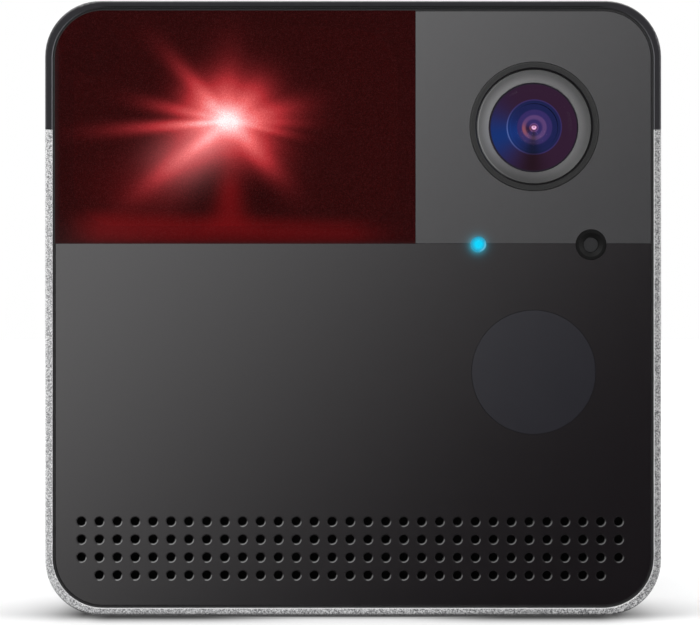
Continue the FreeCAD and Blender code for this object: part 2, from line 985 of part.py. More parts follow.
def front_carrier():
    """Plate that the panels are bonded to, with the bosses and posts that carry the two front boards."""
    inset = rim_width + carrier_gap
    plate = rounded_block(
        "Y", case_width - 2 * inset, case_height - 2 * inset, opening_corner - carrier_gap,
        0, case_mid, carrier_front, carrier_back,
    )
    bosses = [
        rod("Y", front_boss_radius, x, z, carrier_back, front_board_front)
        for x, z in front_board_bosses()
    ]
    posts = [
        rod("Y", camera_post_radius, x, z, carrier_back, holder_back) for x, z in camera_posts()
    ]
    low, high = carrier_front - past, carrier_back + past
    cuts = small_round_holes() + [
        window_opening(),
        rod("Y", trim_radius - trim_width, lens_x, lens_z, low, high),
        rod("Y", ir_radius - ir_ledge, ir_x, ir_z, low, high),
        grille_slot(mesh_margin + 2 * pipe_gap, low, high),
    ]
    cuts += [
        sunk_hole(x, z, carrier_front, 1, carrier_thickness + past)
        for x, z in corner_screw_places(front_screw_z)
    ]
    thread = small_screw_length + screw_spare
    cuts += [
        small_hole("Y", x, z, front_board_back - thread, front_board_front)
        for x, z in front_board_bosses()
    ]
    cuts += [
        small_hole("Y", x, z, camera_board_back - thread, holder_back) for x, z in camera_posts()
    ]
    return plate.fuse(bosses + posts).cut(cuts)


def speaker_mesh():
    return grille_slot(mesh_margin, carrier_front, carrier_front + mesh_thickness)


def light_pipe():
    """Clear rod that carries the status light to the front."""
    chip_front = front_board_front - chip_height
    head = rod("Y", status_radius, status_x, status_z, panel_front, carrier_back)
    foot = rod(
        "Y", status_radius + pipe_flange, status_x, status_z, carrier_back, chip_front - pipe_gap
    )
    return head.fuse(foot)


def status_led():
    half = status_radius
    return block(
        (status_x - half, status_x + half),
        (front_board_front - chip_height, front_board_front),
        (status_z - half, status_z + half),
    )


def sensor_shroud():
    """Black tube round the light sensor, bevelled towards its lens."""
    bevel = sensor_radius - sensor_lens_radius - sensor_rim
    chip_front = front_board_front - chip_height
    corners = [
        (sensor_radius, panel_front),
        (sensor_radius, chip_front),
        (sensor_lens_radius + pipe_gap, chip_front),
        (sensor_lens_radius + pipe_gap, panel_front + bevel / 2),
    ]
    return turned("Y", sensor_x, sensor_z, (sensor_radius - sensor_rim, panel_front), corners)


def sensor_lens():
    chip_front = front_board_front - chip_height
    return rod("Y", sensor_lens_radius, sensor_x, sensor_z, panel_front + sensor_lens_drop, chip_front)


def front_board():
    """Board for the infrared and status lights, the light sensor and the microphone."""
    board = block(
        (ir_x - front_board_width / 2, ir_x + front_board_width / 2),
        (front_board_front, front_board_back),
        (front_board_low, front_board_high),
    )
    sensor_chip = rod(
        "Y", sensor_radius, sensor_x, sensor_z, front_board_front - chip_height, front_board_front
    )
    low, high = front_board_front, front_board_back
    holes = [small_hole("Y", x, z, low, high) for x, z in front_board_bosses()]
    plug = ribbon_plug(ir_x, front_board_back, 1, front_ribbon_z)
    return board.fuse([sensor_chip, plug]).cut(holes)


def ir_leds():
    """Four domed infrared lights in a square behind their window."""
    lights = []
    for dx in (-ir_led_offset, ir_led_offset):
        for dz in (-ir_led_offset, ir_led_offset):
            x, z = ir_x + dx, ir_z + dz
            half = ir_led_width / 2
            base_front = front_board_front - ir_led_base
            base = block((x - half, x + half), (base_front, front_board_front), (z - half, z + half))
            dome = Part.makeSphere(ir_dome_radius, Vector(x, base_front, z))
            dome = dome.common(
                block((x - half, x + half), (base_front - half, base_front), (z - half, z + half))
            )
            lights.append(base.fuse(dome))
    return Part.makeCompound(lights)


# Camera


def lens_trim_ring():
    """Dark ring that fills the hole in the grey panel."""
    inner = trim_radius - trim_width
    corners = [
        (trim_radius - trim_bevel, panel_front - trim_proud),
        (trim_radius, panel_front - trim_proud + trim_bevel),
        (trim_radius, carrier_front),
        (inner, carrier_front),
        (inner, panel_front - trim_proud + 2 * trim_bevel),
    ]
    return turned("Y", lens_x, lens_z, (inner + trim_bevel, panel_front - trim_proud), corners)


def bezel_outer():
    return trim_radius - trim_width - pipe_gap


def bezel_back():
    return panel_front + bezel_drop + bezel_length


def lens_bezel():
    """Grey cone that leads in to the glass, seated in the carrier."""
    start_y = panel_front + bezel_drop
    slope_y = start_y + bezel_slope_depth
    mouth = bezel_outer() - bezel_edge
    bow = ((mouth + bezel_radius) / 2 - bezel_bow, (start_y + slope_y) / 2 + bezel_bow_depth)
    steps = [
        (bow, (bezel_radius, slope_y)),
        (bezel_radius, bezel_back()),
        (bezel_outer(), bezel_back()),
        (bezel_outer(), start_y + bezel_edge_depth),
    ]
    return turned("Y", lens_x, lens_z, (mouth, start_y), steps)


def barrel_front():
    return bezel_back() + pipe_gap


def glass_back():
    return panel_front + glass_drop + glass_thickness


def barrel_head_back():
    return barrel_front() + barrel_head_length


def barrel_end():
    return filter_y()[0] - barrel_rear_gap


def inner_lens_fronts():
    """Where the fronts of the two inner glasses sit."""
    first = barrel_head_back() - inner_lens_thickness
    return first, first + inner_lens_thickness + inner_lens_spacing


def lens_barrel():
    """Threaded lens barrel with a wide head and a stepped bore for the inner lenses."""
    first, second = inner_lens_radii
    first_y, second_y = inner_lens_fronts()
    rear_radius = second - barrel_rear_step
    corners = [
        (barrel_head_radius, barrel_front()),
        (barrel_head_radius, barrel_head_back()),
        (barrel_radius, barrel_head_back()),
        (barrel_radius, barrel_end()),
        (rear_radius, barrel_end()),
        (rear_radius, second_y + inner_lens_thickness),
        (second, second_y + inner_lens_thickness),
        (second, second_y),
        (second - barrel_stop_step, first_y + inner_lens_thickness),
        (first, first_y + inner_lens_thickness),
        (first, first_y),
        (glass_radius - glass_seat_width, glass_back()),
        (glass_radius + pipe_gap, glass_back()),
    ]
    return turned("Y", lens_x, lens_z, (glass_radius + pipe_gap, barrel_front()), corners)


def front_lens():
    """Domed front glass, hollow behind."""
    crown_y = panel_front + glass_drop
    edge_y = crown_y + glass_crown
    back_y = glass_back()
    hollow = glass_radius - glass_land
    apex_y = back_y - glass_hollow
    front_bow = (glass_radius / 2, crown_y + sag(glass_radius, glass_crown, glass_radius / 2))
    back_bow = (hollow / 2, apex_y + sag(hollow, glass_hollow, hollow / 2))
    steps = [
        (front_bow, (glass_radius, edge_y)),
        (glass_radius, back_y),
        (hollow, back_y),
        (back_bow, (0, apex_y)),
    ]
    return turned("Y", lens_x, lens_z, (0, crown_y), steps)


def inner_lenses():
    """The two inner glasses in the barrel's bore."""
    glasses = []
    for radius, low in zip(inner_lens_radii, inner_lens_fronts()):
        high = low + inner_lens_thickness
        bow = (radius / 2, low + sag(radius, inner_lens_crown, radius / 2))
        steps = [
            (bow, (radius, low + inner_lens_crown)),
            (radius, high),
            (0, high),
        ]
        glasses.append(turned("Y", lens_x, lens_z, (0, low), steps))
    return Part.makeCompound(glasses)


def filter_height():
    """Height of the slider: two windows, one below the other, in a frame."""
    return filter_travel + filter_window + 2 * filter_frame


def filter_y():
    """Front and rear face of the slider, just ahead of the sensor chip."""
    back = holder_back - sensor_chip_thickness - 2 * filter_gap
    return back - filter_thickness, back


def filter_low():
    return lens_z - filter_travel - filter_window / 2 - filter_frame


def filter_rod_place():
    """Where the solenoid's rod stands, across and front to back."""
    y = filter_y()
    arm_end = lens_x + holder_width / 2 + filter_arm_length
    return arm_end - filter_rod_radius - filter_rod_edge, (y[0] + y[1]) / 2


def filter_arm_low():
    return filter_low() + filter_height() - filter_arm_height


def filter_panes(y):
    """Two square blocks, on the lens axis and below it."""
    half = filter_window / 2
    return [
        block((lens_x - half, lens_x + half), y, (middle - half, middle + half))
        for middle in (lens_z, lens_z - filter_travel)
    ]


def filter_slider():
    """Frame that slides up to swap the day filter for clear glass, with the rod that the solenoid pulls."""
    width = filter_window + 2 * filter_frame
    y = filter_y()
    low = filter_low()
    plate = block((lens_x - width / 2, lens_x + width / 2), y, (low, low + filter_height()))
    arm_end = lens_x + holder_width / 2 + filter_arm_length
    arm = block(
        (lens_x + width / 2, arm_end), y, (filter_arm_low(), filter_arm_low() + filter_arm_height)
    )
    pull_rod = rod(
        "Z", filter_rod_radius, *filter_rod_place(), filter_arm_low() - filter_rod_length, filter_arm_low()
    )
    return plate.fuse([arm, pull_rod]).cut(filter_panes((y[0] - past, y[1] + past)))


def filter_glasses():
    """The red-blocking glass on the lens axis by day, and the clear one below it."""
    y = filter_y()
    return Part.makeCompound(filter_panes((y[0] + filter_glass_inset, y[1] - filter_glass_inset)))


def filter_solenoid():
    """Coil beside the lens holder that lifts and drops the filter slider's rod."""
    rod_x, rod_y = filter_rod_place()
    top = filter_arm_low() - filter_gap
    left = lens_x + holder_width / 2
    body = block(
        (left, left + solenoid_width), (rod_y - solenoid_width / 2, holder_back),
        (top - solenoid_height, top),
    )
    return body.cut(
        rod("Z", filter_rod_radius + 2 * running_gap, rod_x, rod_y, top - solenoid_height, top)
    )


def lens_holder():
    """Block that the barrel screws into, hollow behind for the slider and the sensor chip."""
    y = filter_y()
    box_front = holder_back - holder_depth
    tube_front = barrel_head_back() + holder_gap
    low, high = camera_board_ends()
    half = holder_width / 2
    box = block((lens_x - half, lens_x + half), (box_front, holder_back), (low, high))
    tube = rod("Y", holder_tube_radius, lens_x, lens_z, tube_front, box_front)
    slide_half = filter_window / 2 + filter_frame + filter_gap
    slide_way = block(
        (lens_x - slide_half, lens_x + slide_half),
        (y[0] - filter_gap, holder_back + past),
        (low + holder_wall, high - holder_wall),
    )
    arm_low = filter_arm_low() - filter_gap
    arm_way = block(
        (lens_x, lens_x + half + past),
        (y[0] - filter_gap, y[1] + filter_gap),
        (arm_low, arm_low + filter_arm_height + filter_travel + 2 * filter_gap),
    )
    bore = rod("Y", barrel_radius, lens_x, lens_z, tube_front - past, barrel_end())
    light_way = rod("Y", filter_window / 2, lens_x, lens_z, box_front - past, holder_back)
    chip_half = sensor_chip_width / 2 + filter_gap
    chip_way = block(
        (lens_x - chip_half, lens_x + chip_half),
        (holder_back - sensor_chip_thickness - filter_gap / 2, holder_back + past),
        (lens_z - chip_half, lens_z + chip_half),
    )
    return box.fuse(tube).cut([slide_way, arm_way, bore, light_way, chip_way])


def image_sensor():
    half = sensor_chip_width / 2
    return block(
        (lens_x - half, lens_x + half),
        (holder_back - sensor_chip_thickness, holder_back),
        (lens_z - half, lens_z + half),
    )


def camera_ribbon_z():
    return filter_low()


def camera_board():
    half = camera_board_width / 2
    board = block(
        (lens_x - half, lens_x + half), (holder_back, camera_board_back), camera_board_ends()
    )
    holes = [small_hole("Y", x, z, holder_back, camera_board_back) for x, z in camera_posts()]
    return board.fuse(ribbon_plug(lens_x, camera_board_back, 1, camera_ribbon_z())).cut(holes)


# Ribbons and their sockets


def ribbon_plug(x, face, outward, z):
    """Socket block that stands on a board's face and takes a flat ribbon."""
    low, high = sorted((face, face + outward * plug_block_depth))
    half = ribbon_width / 2 + plug_block_side
    tall = plug_block_height / 2
    return block((x - half, x + half), (low, high), (z - tall, z + tall))


def ribbon_route(x, low_y, high_y, z):
    """Ribbon that leaves one socket straight, sags a little and enters the next one straight."""
    span = high_y - low_y
    drop = Vector(0, 0, -ribbon_drop)
    start = Vector(x, low_y, z)
    end = Vector(x, high_y, z)
    straight = Vector(0, span * ribbon_straight, 0)
    dip = Vector(0, span * ribbon_dip, 0)
    first = start + straight
    last = end - straight
    second = start + dip + drop
    third = end - dip + drop
    return [start, first, second, third, last, end]


def board_ribbons():
    """Flat ribbons from the camera board and the front board to the main board."""
    routes = (
        (lens_x, camera_board_back + plug_block_depth, camera_ribbon_z()),
        (ir_x, front_board_back + plug_block_depth, front_ribbon_z),
    )
    end_y = board_front - plug_block_depth
    ribbons = []
    for x, start_y, z in routes:
        ribbons.append(ribbon(ribbon_route(x, start_y, end_y, z), ribbon_width, ribbon_thickness))
    return Part.makeCompound(ribbons)


# Speaker


def surround_y():
    return carrier_back + surround_drop


def racetrack(width, height, low, high):
    """Speaker-shaped block: a rectangle with half-round ends."""
    return rounded_block("Y", width, height, half_round(height), 0, speaker_z, low, high)


def basket_hollow():
    """Width and height inside the basket's wall."""
    return speaker_width - 2 * speaker_wall, speaker_height - 2 * speaker_wall


def speaker_back():
    return carrier_back + speaker_depth


def speaker_basket():
    """Shell of the speaker, bonded to the carrier round the grille, with a step for the surround."""
    front_y = carrier_back
    back_y = speaker_back()
    wide, high = basket_hollow()
    step = surround_thickness + running_gap
    outer = racetrack(speaker_width, speaker_height, front_y, back_y)
    recess = racetrack(wide, high, front_y - past, surround_y())
    well = racetrack(wide - 2 * step, high - 2 * step, front_y, back_y - speaker_floor)
    hole = rod("Y", coil_radius + magnet_gap, 0, speaker_z, front_y, back_y + past)
    return outer.cut([recess, well, hole])


def speaker_surround():
    """Half-round roll between the basket and the cone, all the way round the racetrack."""
    wide, high = basket_hollow()
    outer_roll = surround_roll
    inner_roll = surround_roll - surround_thickness
    middle = high / 2 - outer_roll
    straight = wide / 2 - high / 2
    y = surround_y()

    def profile(x, z):
        """Half ring round (x, z) that bulges forwards, in the plane square to X."""
        steps = [
            ((z, y - outer_roll), (z + outer_roll, y)),
            (z + inner_roll, y),
            ((z, y - inner_roll), (z - inner_roll, y)),
        ]
        return edges_from(lambda up, at: Vector(x, at, up), (z - outer_roll, y), steps)

    pieces = []
    for side in (-1, 1):
        start = Vector(side * straight, 0, speaker_z)
        face = Part.Face(profile(side * straight, speaker_z - middle))
        pieces.append(face.revolve(start, AXES["Y"], -180 * side))
        face = Part.Face(profile(-straight, speaker_z + side * middle))
        pieces.append(face.extrude(Vector(2 * straight, 0, 0)))
    return pieces[0].fuse(pieces[1:]).removeSplitter()


def cone_size():
    """Width and height of the cone's front edge, under the surround's inner edge."""
    wide, high = basket_hollow()
    shrink = 4 * surround_roll - 2 * surround_thickness
    return wide - shrink, high - shrink


def speaker_cone():
    """Racetrack dish with a flat floor."""
    wide, high = cone_size()
    fall = cone_slope * cone_depth
    y = surround_y()
    solid = flared_block(
        "Y", wide - 2 * fall, high - 2 * fall, half_round(high - 2 * fall), fall,
        0, speaker_z, y, y + cone_depth,
    )
    return solid.cut(solid.translated(Vector(0, -cone_thickness, 0)))


def voice_coil():
    low = surround_y() + cone_depth
    return ring("Y", coil_radius, coil_radius - coil_wall, 0, speaker_z, low, low + coil_length)


def speaker_magnet():
    """Pot magnet with a ring gap for the voice coil."""
    low = speaker_back()
    pot = rod("Y", magnet_radius, 0, speaker_z, low, low + magnet_depth)
    gap = ring(
        "Y", coil_radius + magnet_gap, coil_radius - coil_wall - magnet_gap,
        0, speaker_z, low - past, low + magnet_depth - magnet_wall,
    )
    return pot.cut(gap)


def speaker_leads():
    """Two leads from the speaker's back to the main board, over the chassis floor."""
    start_y = speaker_back()
    end_y = board_front
    low_z = hold_floor + 2 * lead_diameter
    end_z = board_low + lead_edge
    leads = []
    for n in range(2):
        x = lead_x + n * lead_spacing
        route = [
            Vector(x, start_y, speaker_z),
            Vector(x, start_y + lead_straight, speaker_z),
            Vector(x, start_y + lead_run, low_z + lead_rise),
            Vector(x, end_y - lead_run, low_z),
            Vector(x, end_y - lead_straight, end_z),
            Vector(x, end_y, end_z),
        ]
        leads.append(lead(route, lead_diameter))
    return Part.makeCompound(leads)


# Laser chamber and gimbal


def laser_shroud():
    """Shelf and two walls that close the laser off from the camera, on the chassis ledge and two legs."""
    left = -hold_side + shroud_gap
    roof = hold_roof - shroud_gap
    floor = block((left, chamber_right), (carrier_back, chamber_back), (shelf_bottom, shelf_top))
    right_wall = block(
        (chamber_right - chamber_wall, chamber_right), (carrier_back, chamber_back), (shelf_bottom, roof)
    )
    back_wall = block(
        (left, chamber_right), (chamber_back, chamber_back + chamber_wall), (shelf_bottom, roof)
    )
    corner = 2 * (screw_boss_radius + shroud_corner_gap)
    back_wall = back_wall.cut(
        rounded_block(
            "Y", corner, corner, shroud_corner, left, roof,
            chamber_back - past, chamber_back + chamber_wall + past,
        )
    )
    boss = rod("Z", pan_boss_radius, laser_x, pan_y, shelf_bottom - pan_boss_length, shelf_bottom)
    legs = []
    for leg_y in (pan_y, chamber_back + chamber_wall - shelf_leg_depth):
        legs.append(
            block(
                (chamber_right - shelf_leg_width, chamber_right),
                (leg_y, leg_y + shelf_leg_depth),
                (hold_floor, shelf_bottom),
            )
        )
    bush_hole = rod(
        "Z", pan_shaft_radius + running_gap + pan_bush_wall, laser_x, pan_y,
        shelf_bottom - pan_boss_length - past, shelf_top + past,
    )
    motor_hole = rod(
        "Z", motor_boss_radius + running_gap, laser_x, pan_motor_y, shelf_bottom - past, shelf_top + past
    )
    shroud = floor.fuse([right_wall, back_wall, boss] + legs)
    screws = [
        small_hole("Z", laser_x + dx, pan_motor_y, shelf_bottom - past, shelf_top + past)
        for dx in (-motor_ear_span / 2, motor_ear_span / 2)
    ]
    return shroud.cut([bush_hole, motor_hole] + screws)


def pan_bush():
    """Flanged bush that the yoke's shaft turns in."""
    inner = pan_shaft_radius + running_gap
    outer = inner + pan_bush_wall
    low = shelf_bottom - pan_boss_length
    corners = [
        (outer, low),
        (outer, shelf_top),
        (pan_bush_flange_radius, shelf_top),
        (pan_bush_flange_radius, shelf_top + pan_bush_flange),
        (inner, shelf_top + pan_bush_flange),
    ]
    return turned("Z", laser_x, pan_y, (inner, low), corners)


def clip_top():
    return shelf_bottom - pan_boss_length - running_gap


def pan_clip():
    """Spring clip in the groove at the shaft's lower end."""
    low = clip_top() - clip_thickness
    clip = ring("Z", clip_radius, pan_shaft_radius - clip_groove, laser_x, pan_y, low, clip_top())
    mouth = block(
        (laser_x - clip_mouth / 2, laser_x + clip_mouth / 2),
        (pan_y, pan_y + clip_radius + past), (low - past, clip_top() + past),
    )
    return clip.cut(mouth)


def pan_motor():
    """Round can motor under the shelf, with two ears and a pilot boss round its shaft."""
    low, high = shelf_bottom - pan_motor_length, shelf_bottom + motor_boss_length
    can = rod("Z", pan_motor_radius, laser_x, pan_motor_y, low, shelf_bottom)
    pilot = rod("Z", motor_boss_radius, laser_x, pan_motor_y, shelf_bottom, high)
    ears = rounded_block(
        "Z", motor_ear_span + motor_ear_width, motor_ear_width, half_round(motor_ear_width),
        laser_x, pan_motor_y, shelf_bottom - motor_ear_thickness, shelf_bottom,
    )
    bore = rod(
        "Z", motor_shaft_radius + running_gap, laser_x, pan_motor_y,
        low + motor_end_wall, high + past,
    )
    screws = [
        small_hole("Z", laser_x + dx, pan_motor_y, shelf_bottom - motor_ear_thickness - past, shelf_bottom)
        for dx in (-motor_ear_span / 2, motor_ear_span / 2)
    ]
    return can.fuse([pilot, ears]).cut([bore] + screws)


def pan_pinion():
    """Pinion in one piece with the motor's shaft."""
    pinion = toward_rear(involute_gear(pan_module, pan_pinion_teeth, pinion_thickness))
    pinion = half_pitch_off(pinion, pan_pinion_teeth)
    low = pan_gear_bottom - (pinion_thickness - gear_thickness) / 2
    pinion.translate(Vector(laser_x, pan_motor_y, low))
    shaft = rod(
        "Z", motor_shaft_radius, laser_x, pan_motor_y,
        shelf_bottom - pan_motor_length + motor_end_wall + motor_shaft_gap,
        low + pinion_thickness + pinion_shaft_proud,
    )
    return pinion.fuse(shaft)


def pan_gear():
    """Large gear under the yoke, on the pan shaft."""
    gear = toward_rear(involute_gear(pan_module, pan_teeth, gear_thickness))
    gear.translate(Vector(laser_x, pan_y, pan_gear_bottom))
    bore = rod("Z", pan_shaft_radius, laser_x, pan_y, pan_gear_bottom - past, pan_gear_top + past)
    lightening = []
    for n in range(gear_holes):
        angle = 2 * math.pi * n / gear_holes
        middle = pan_radius * gear_hole_place
        lightening.append(
            rod(
                "Z", pan_radius * gear_hole_size, laser_x + middle * math.cos(angle),
                pan_y + middle * math.sin(angle), pan_gear_bottom - past, pan_gear_top + past,
            )
        )
    return gear.cut([bore] + lightening)


def arm_outline():
    """Side view of the left arm: an eye round the tilt axis and a lug behind it round the tilt motor."""
    eye = yoke_eye_radius
    lug = tilt_motor_radius + yoke_lug_rim
    foot = yoke_plate_depth / 2
    start = (pan_y - foot, pan_gear_top)
    bow = math.sqrt(0.5)
    steps = [
        (pan_y + foot, pan_gear_top),
        (tilt_motor_y, laser_z - lug),
        ((tilt_motor_y + lug, laser_z), (tilt_motor_y, laser_z + lug)),
        (pan_y, laser_z + eye),
        ((pan_y - eye * bow, laser_z + eye * bow), (pan_y - eye, laser_z)),
    ]
    return start, steps


def pan_yoke():
    """Fork that carries the laser cradle, with its shaft in one piece."""
    foot = yoke_plate_depth / 2
    plate = block(
        (left_arm_outside, right_arm_outside), (pan_y - foot, pan_y + foot), (pan_gear_top, yoke_top)
    )
    start, steps = arm_outline()
    left_arm = prism("X", start, steps, left_arm_outside, left_arm_inside)
    eye = yoke_eye_radius
    right_steps = [
        (pan_y + foot, pan_gear_top),
        (pan_y + eye, laser_z),
        ((pan_y, laser_z + eye), (pan_y - eye, laser_z)),
    ]
    right_arm = prism(
        "X", (pan_y - foot, pan_gear_top), right_steps, right_arm_inside, right_arm_outside
    )
    end_z = clip_top() - clip_thickness - shaft_end
    shaft = rod("Z", pan_shaft_radius, laser_x, pan_y, end_z, pan_gear_top)
    groove = ring(
        "Z", pan_shaft_radius + past, pan_shaft_radius - clip_groove, laser_x, pan_y,
        clip_top() - clip_thickness, clip_top(),
    )
    eyes = rod(
        "X", trunnion_radius + running_gap, pan_y, laser_z,
        left_arm_outside - past, right_arm_outside + past,
    )
    motor_eye = rod(
        "X", motor_boss_radius + running_gap, tilt_motor_y, laser_z,
        left_arm_outside - past, left_arm_inside + past,
    )
    return plate.fuse([left_arm, right_arm, shaft]).cut([groove, eyes, motor_eye])


def tilt_motor():
    """Small can motor on the inside of the yoke's left arm."""
    can = rod(
        "X", tilt_motor_radius, tilt_motor_y, laser_z, left_arm_inside, left_arm_inside + tilt_motor_length
    )
    pilot = rod(
        "X", motor_boss_radius, tilt_motor_y, laser_z, left_arm_inside - motor_boss_length, left_arm_inside
    )
    bore = rod(
        "X", motor_shaft_radius + running_gap, tilt_motor_y, laser_z,
        left_arm_inside - motor_boss_length - past, left_arm_inside + tilt_motor_length - motor_end_wall,
    )
    return can.fuse(pilot).cut(bore)


def tilt_pinion():
    pinion = toward_rear(involute_gear(tilt_module, tilt_pinion_teeth, pinion_thickness))
    pinion = half_pitch_off(pinion, tilt_pinion_teeth)
    left = tilt_gear_left - (pinion_thickness - gear_thickness)
    pinion = onto_x_axis(pinion, left, tilt_motor_y, laser_z)
    shaft = rod(
        "X", motor_shaft_radius, tilt_motor_y, laser_z, left - pinion_shaft_proud,
        left_arm_inside + tilt_motor_length - motor_end_wall - motor_shaft_gap,
    )
    return pinion.fuse(shaft)


def tilt_gear():
    """Sector gear on the cradle's left trunnion, toothed only where the pinion reaches."""
    gear = onto_x_axis(
        toward_rear(involute_gear(tilt_module, tilt_teeth, gear_thickness)), tilt_gear_left, pan_y, laser_z
    )
    reach = 2 * tilt_radius
    half = math.radians(tilt_sector_angle / 2)
    corners = [
        (pan_y + reach * math.cos(half), laser_z - reach * math.sin(half)),
        (pan_y + reach, laser_z - reach * math.sin(half)),
        (pan_y + reach, laser_z + reach * math.sin(half)),
        (pan_y + reach * math.cos(half), laser_z + reach * math.sin(half)),
    ]
    wedge = prism("X", (pan_y, laser_z), corners, tilt_gear_left - past, tilt_gear_right + past)
    hub = rod("X", 2 * trunnion_radius, pan_y, laser_z, tilt_gear_left, tilt_gear_right)
    bore = rod("X", trunnion_radius, pan_y, laser_z, tilt_gear_left - past, tilt_gear_right + past)
    return gear.common(wedge).fuse(hub).cut(bore).removeSplitter()


def laser_cradle():
    """Block that clamps the laser, with a trunnion on each side."""
    body = block(
        (laser_x - cradle_width / 2, laser_x + cradle_width / 2),
        (pan_y - cradle_depth / 2, pan_y + cradle_depth / 2),
        (laser_z - cradle_height / 2, laser_z + cradle_height / 2),
    )
    long_edges = [e for e in body.Edges if e.BoundBox.YLength > cradle_depth / 2]
    body = body.makeChamfer(cradle_chamfer, long_edges)
    trunnions = rod(
        "X", trunnion_radius, pan_y, laser_z, tilt_gear_left, right_arm_outside + trunnion_proud
    )
    shoulders = rod(
        "X", trunnion_shoulder_radius, pan_y, laser_z,
        left_arm_inside + side_gap, right_arm_inside - side_gap,
    )
    bore = rod("Y", laser_radius, laser_x, laser_z, pan_y - cradle_depth, pan_y + cradle_depth)
    return body.fuse([trunnions, shoulders]).cut(bore)


def laser_barrel():
    """Brass tube with a stepped nose, open in front for the lens."""
    nose = pan_y - laser_reach
    tail = pan_y + laser_tail
    lens_back = nose + laser_lens_drop + laser_lens_thickness
    corners = [
        (laser_radius - laser_nose_step, nose),
        (laser_radius - laser_nose_step, nose + laser_nose_length),
        (laser_radius, nose + laser_nose_length),
        (laser_radius, tail),
        (0, tail),
        (0, tail - laser_tail_wall),
        (laser_lens_radius - laser_lens_ledge, tail - laser_tail_wall),
        (laser_lens_radius - laser_lens_ledge, lens_back),
        (laser_lens_radius, lens_back),
    ]
    return turned("Y", laser_x, laser_z, (laser_lens_radius, nose), corners)


def laser_lens():
    low = pan_y - laser_reach + laser_lens_drop
    half = laser_lens_radius / 2
    bow_y = low + sag(laser_lens_radius, laser_lens_crown, half)
    steps = [
        ((half, bow_y), (laser_lens_radius, low + laser_lens_crown)),
        (laser_lens_radius, low + laser_lens_thickness),
        (0, low + laser_lens_thickness),
    ]
    return turned("Y", laser_x, laser_z, (0, low), steps)


def laser_board():
    low = pan_y + laser_tail
    return rod("Y", laser_radius - laser_board_inset, laser_x, laser_z, low, low + laser_board_thickness)


# Rear


def board_screw_places():
    half = board_width / 2 - board_boss_inset
    low = board_low + board_boss_inset
    high = board_high - board_boss_inset
    return [(x, z) for x in (-half, half) for z in (low, high)]


def rear_cover():
    """Plastic cover with the power recess, the button's hole, air slots and the board's bosses."""
    inset = rim_width + cover_gap
    plate = rounded_block(
        "Y", case_width - 2 * inset, case_height - 2 * inset, opening_corner - cover_gap,
        0, case_mid, cover_front, cover_back,
    )
    edge = [e for e in plate.Edges if abs(e.BoundBox.YMin - cover_back) < 1e-6]
    plate = plate.makeChamfer(panel_chamfer, edge)
    cup = rounded_block(
        "Y", port_width + 2 * port_wall, port_tall + 2 * port_wall, port_corner + port_wall,
        port_x, port_z, port_floor - port_wall, cover_front,
    )
    bosses = [
        rod("Y", board_boss_radius, x, z, board_back, cover_front) for x, z in board_screw_places()
    ]
    way_radius = button_radius + button_flange + button_gap
    guide_low = cover_front - button_flange_thickness - button_travel - button_guide_gap
    guide = rod(
        "Y", way_radius + button_guide_wall, button_x, button_z, guide_low, cover_front
    )
    flange_way = rod("Y", way_radius, button_x, button_z, guide_low - past, cover_front)
    button_hole = rod(
        "Y", button_radius + button_gap, button_x, button_z, cover_front - past, cover_back + past
    )
    recess = rounded_block(
        "Y", port_width, port_tall, port_corner, port_x, port_z, port_floor, rear + past
    )
    hole_height = plug_shell_height + 2 * plug_gap
    socket_hole = rounded_block(
        "Y", plug_shell_width + 2 * plug_gap, hole_height, half_round(hole_height),
        port_x, port_z, port_floor - port_wall - past, port_floor + past,
    )
    slots = []
    for column in range(vent_columns):
        x = (column - (vent_columns - 1) / 2) * (vent_width + vent_spacing)
        for row in range(vent_rows):
            z = case_top - vent_drop - row * vent_spacing
            slots.append(
                rounded_block(
                    "Y", vent_width, vent_height, half_round(vent_height), x, z,
                    cover_front - past, cover_back + past,
                )
            )
    screws = [
        sunk_hole(x, z, cover_back, -1, cover_thickness + past)
        for x, z in corner_screw_places(low_screw_z)
    ]
    board_holes = [
        small_hole("Y", x, z, board_back, board_front + small_screw_length + screw_spare)
        for x, z in board_screw_places()
    ]
    cover = plate.fuse([cup, guide] + bosses)
    return cover.cut([flange_way, button_hole, recess, socket_hole] + slots + screws + board_holes)


def main_board():
    board = rounded_block(
        "Y", board_width, board_high - board_low, board_corner,
        0, (board_low + board_high) / 2, board_front, board_back,
    )
    sockets = [
        ribbon_plug(lens_x, board_front, -1, camera_ribbon_z()),
        ribbon_plug(ir_x, board_front, -1, front_ribbon_z),
    ]
    holes = [small_hole("Y", x, z, board_front, board_back) for x, z in board_screw_places()]
    return board.fuse(sockets).cut(holes)


def shield_can():
    """Metal lid over the processor and radio."""
    half = shield_width / 2
    can = block(
        (shield_x - half, shield_x + half), (board_front - shield_height, board_front),
        (shield_z - half, shield_z + half),
    )
    corners = [e for e in can.Edges if e.BoundBox.YLength > shield_height / 2]
    return can.makeFillet(shield_corner, corners)


def heat_sink():
    """Finned plate on the shield."""
    half = shield_width / 2 - sink_inset
    height = (shield_z - half, shield_z + half)
    base_back = board_front - shield_height
    base_front = base_back - sink_base
    base = block((shield_x - half, shield_x + half), (base_front, base_back), height)
    fins = []
    step = (2 * half - sink_fin_thickness) / (sink_fins - 1)
    for n in range(sink_fins):
        left = shield_x - half + n * step
        fins.append(block((left, left + sink_fin_thickness), (sink_front, base_front), height))
    return base.fuse(fins).removeSplitter()


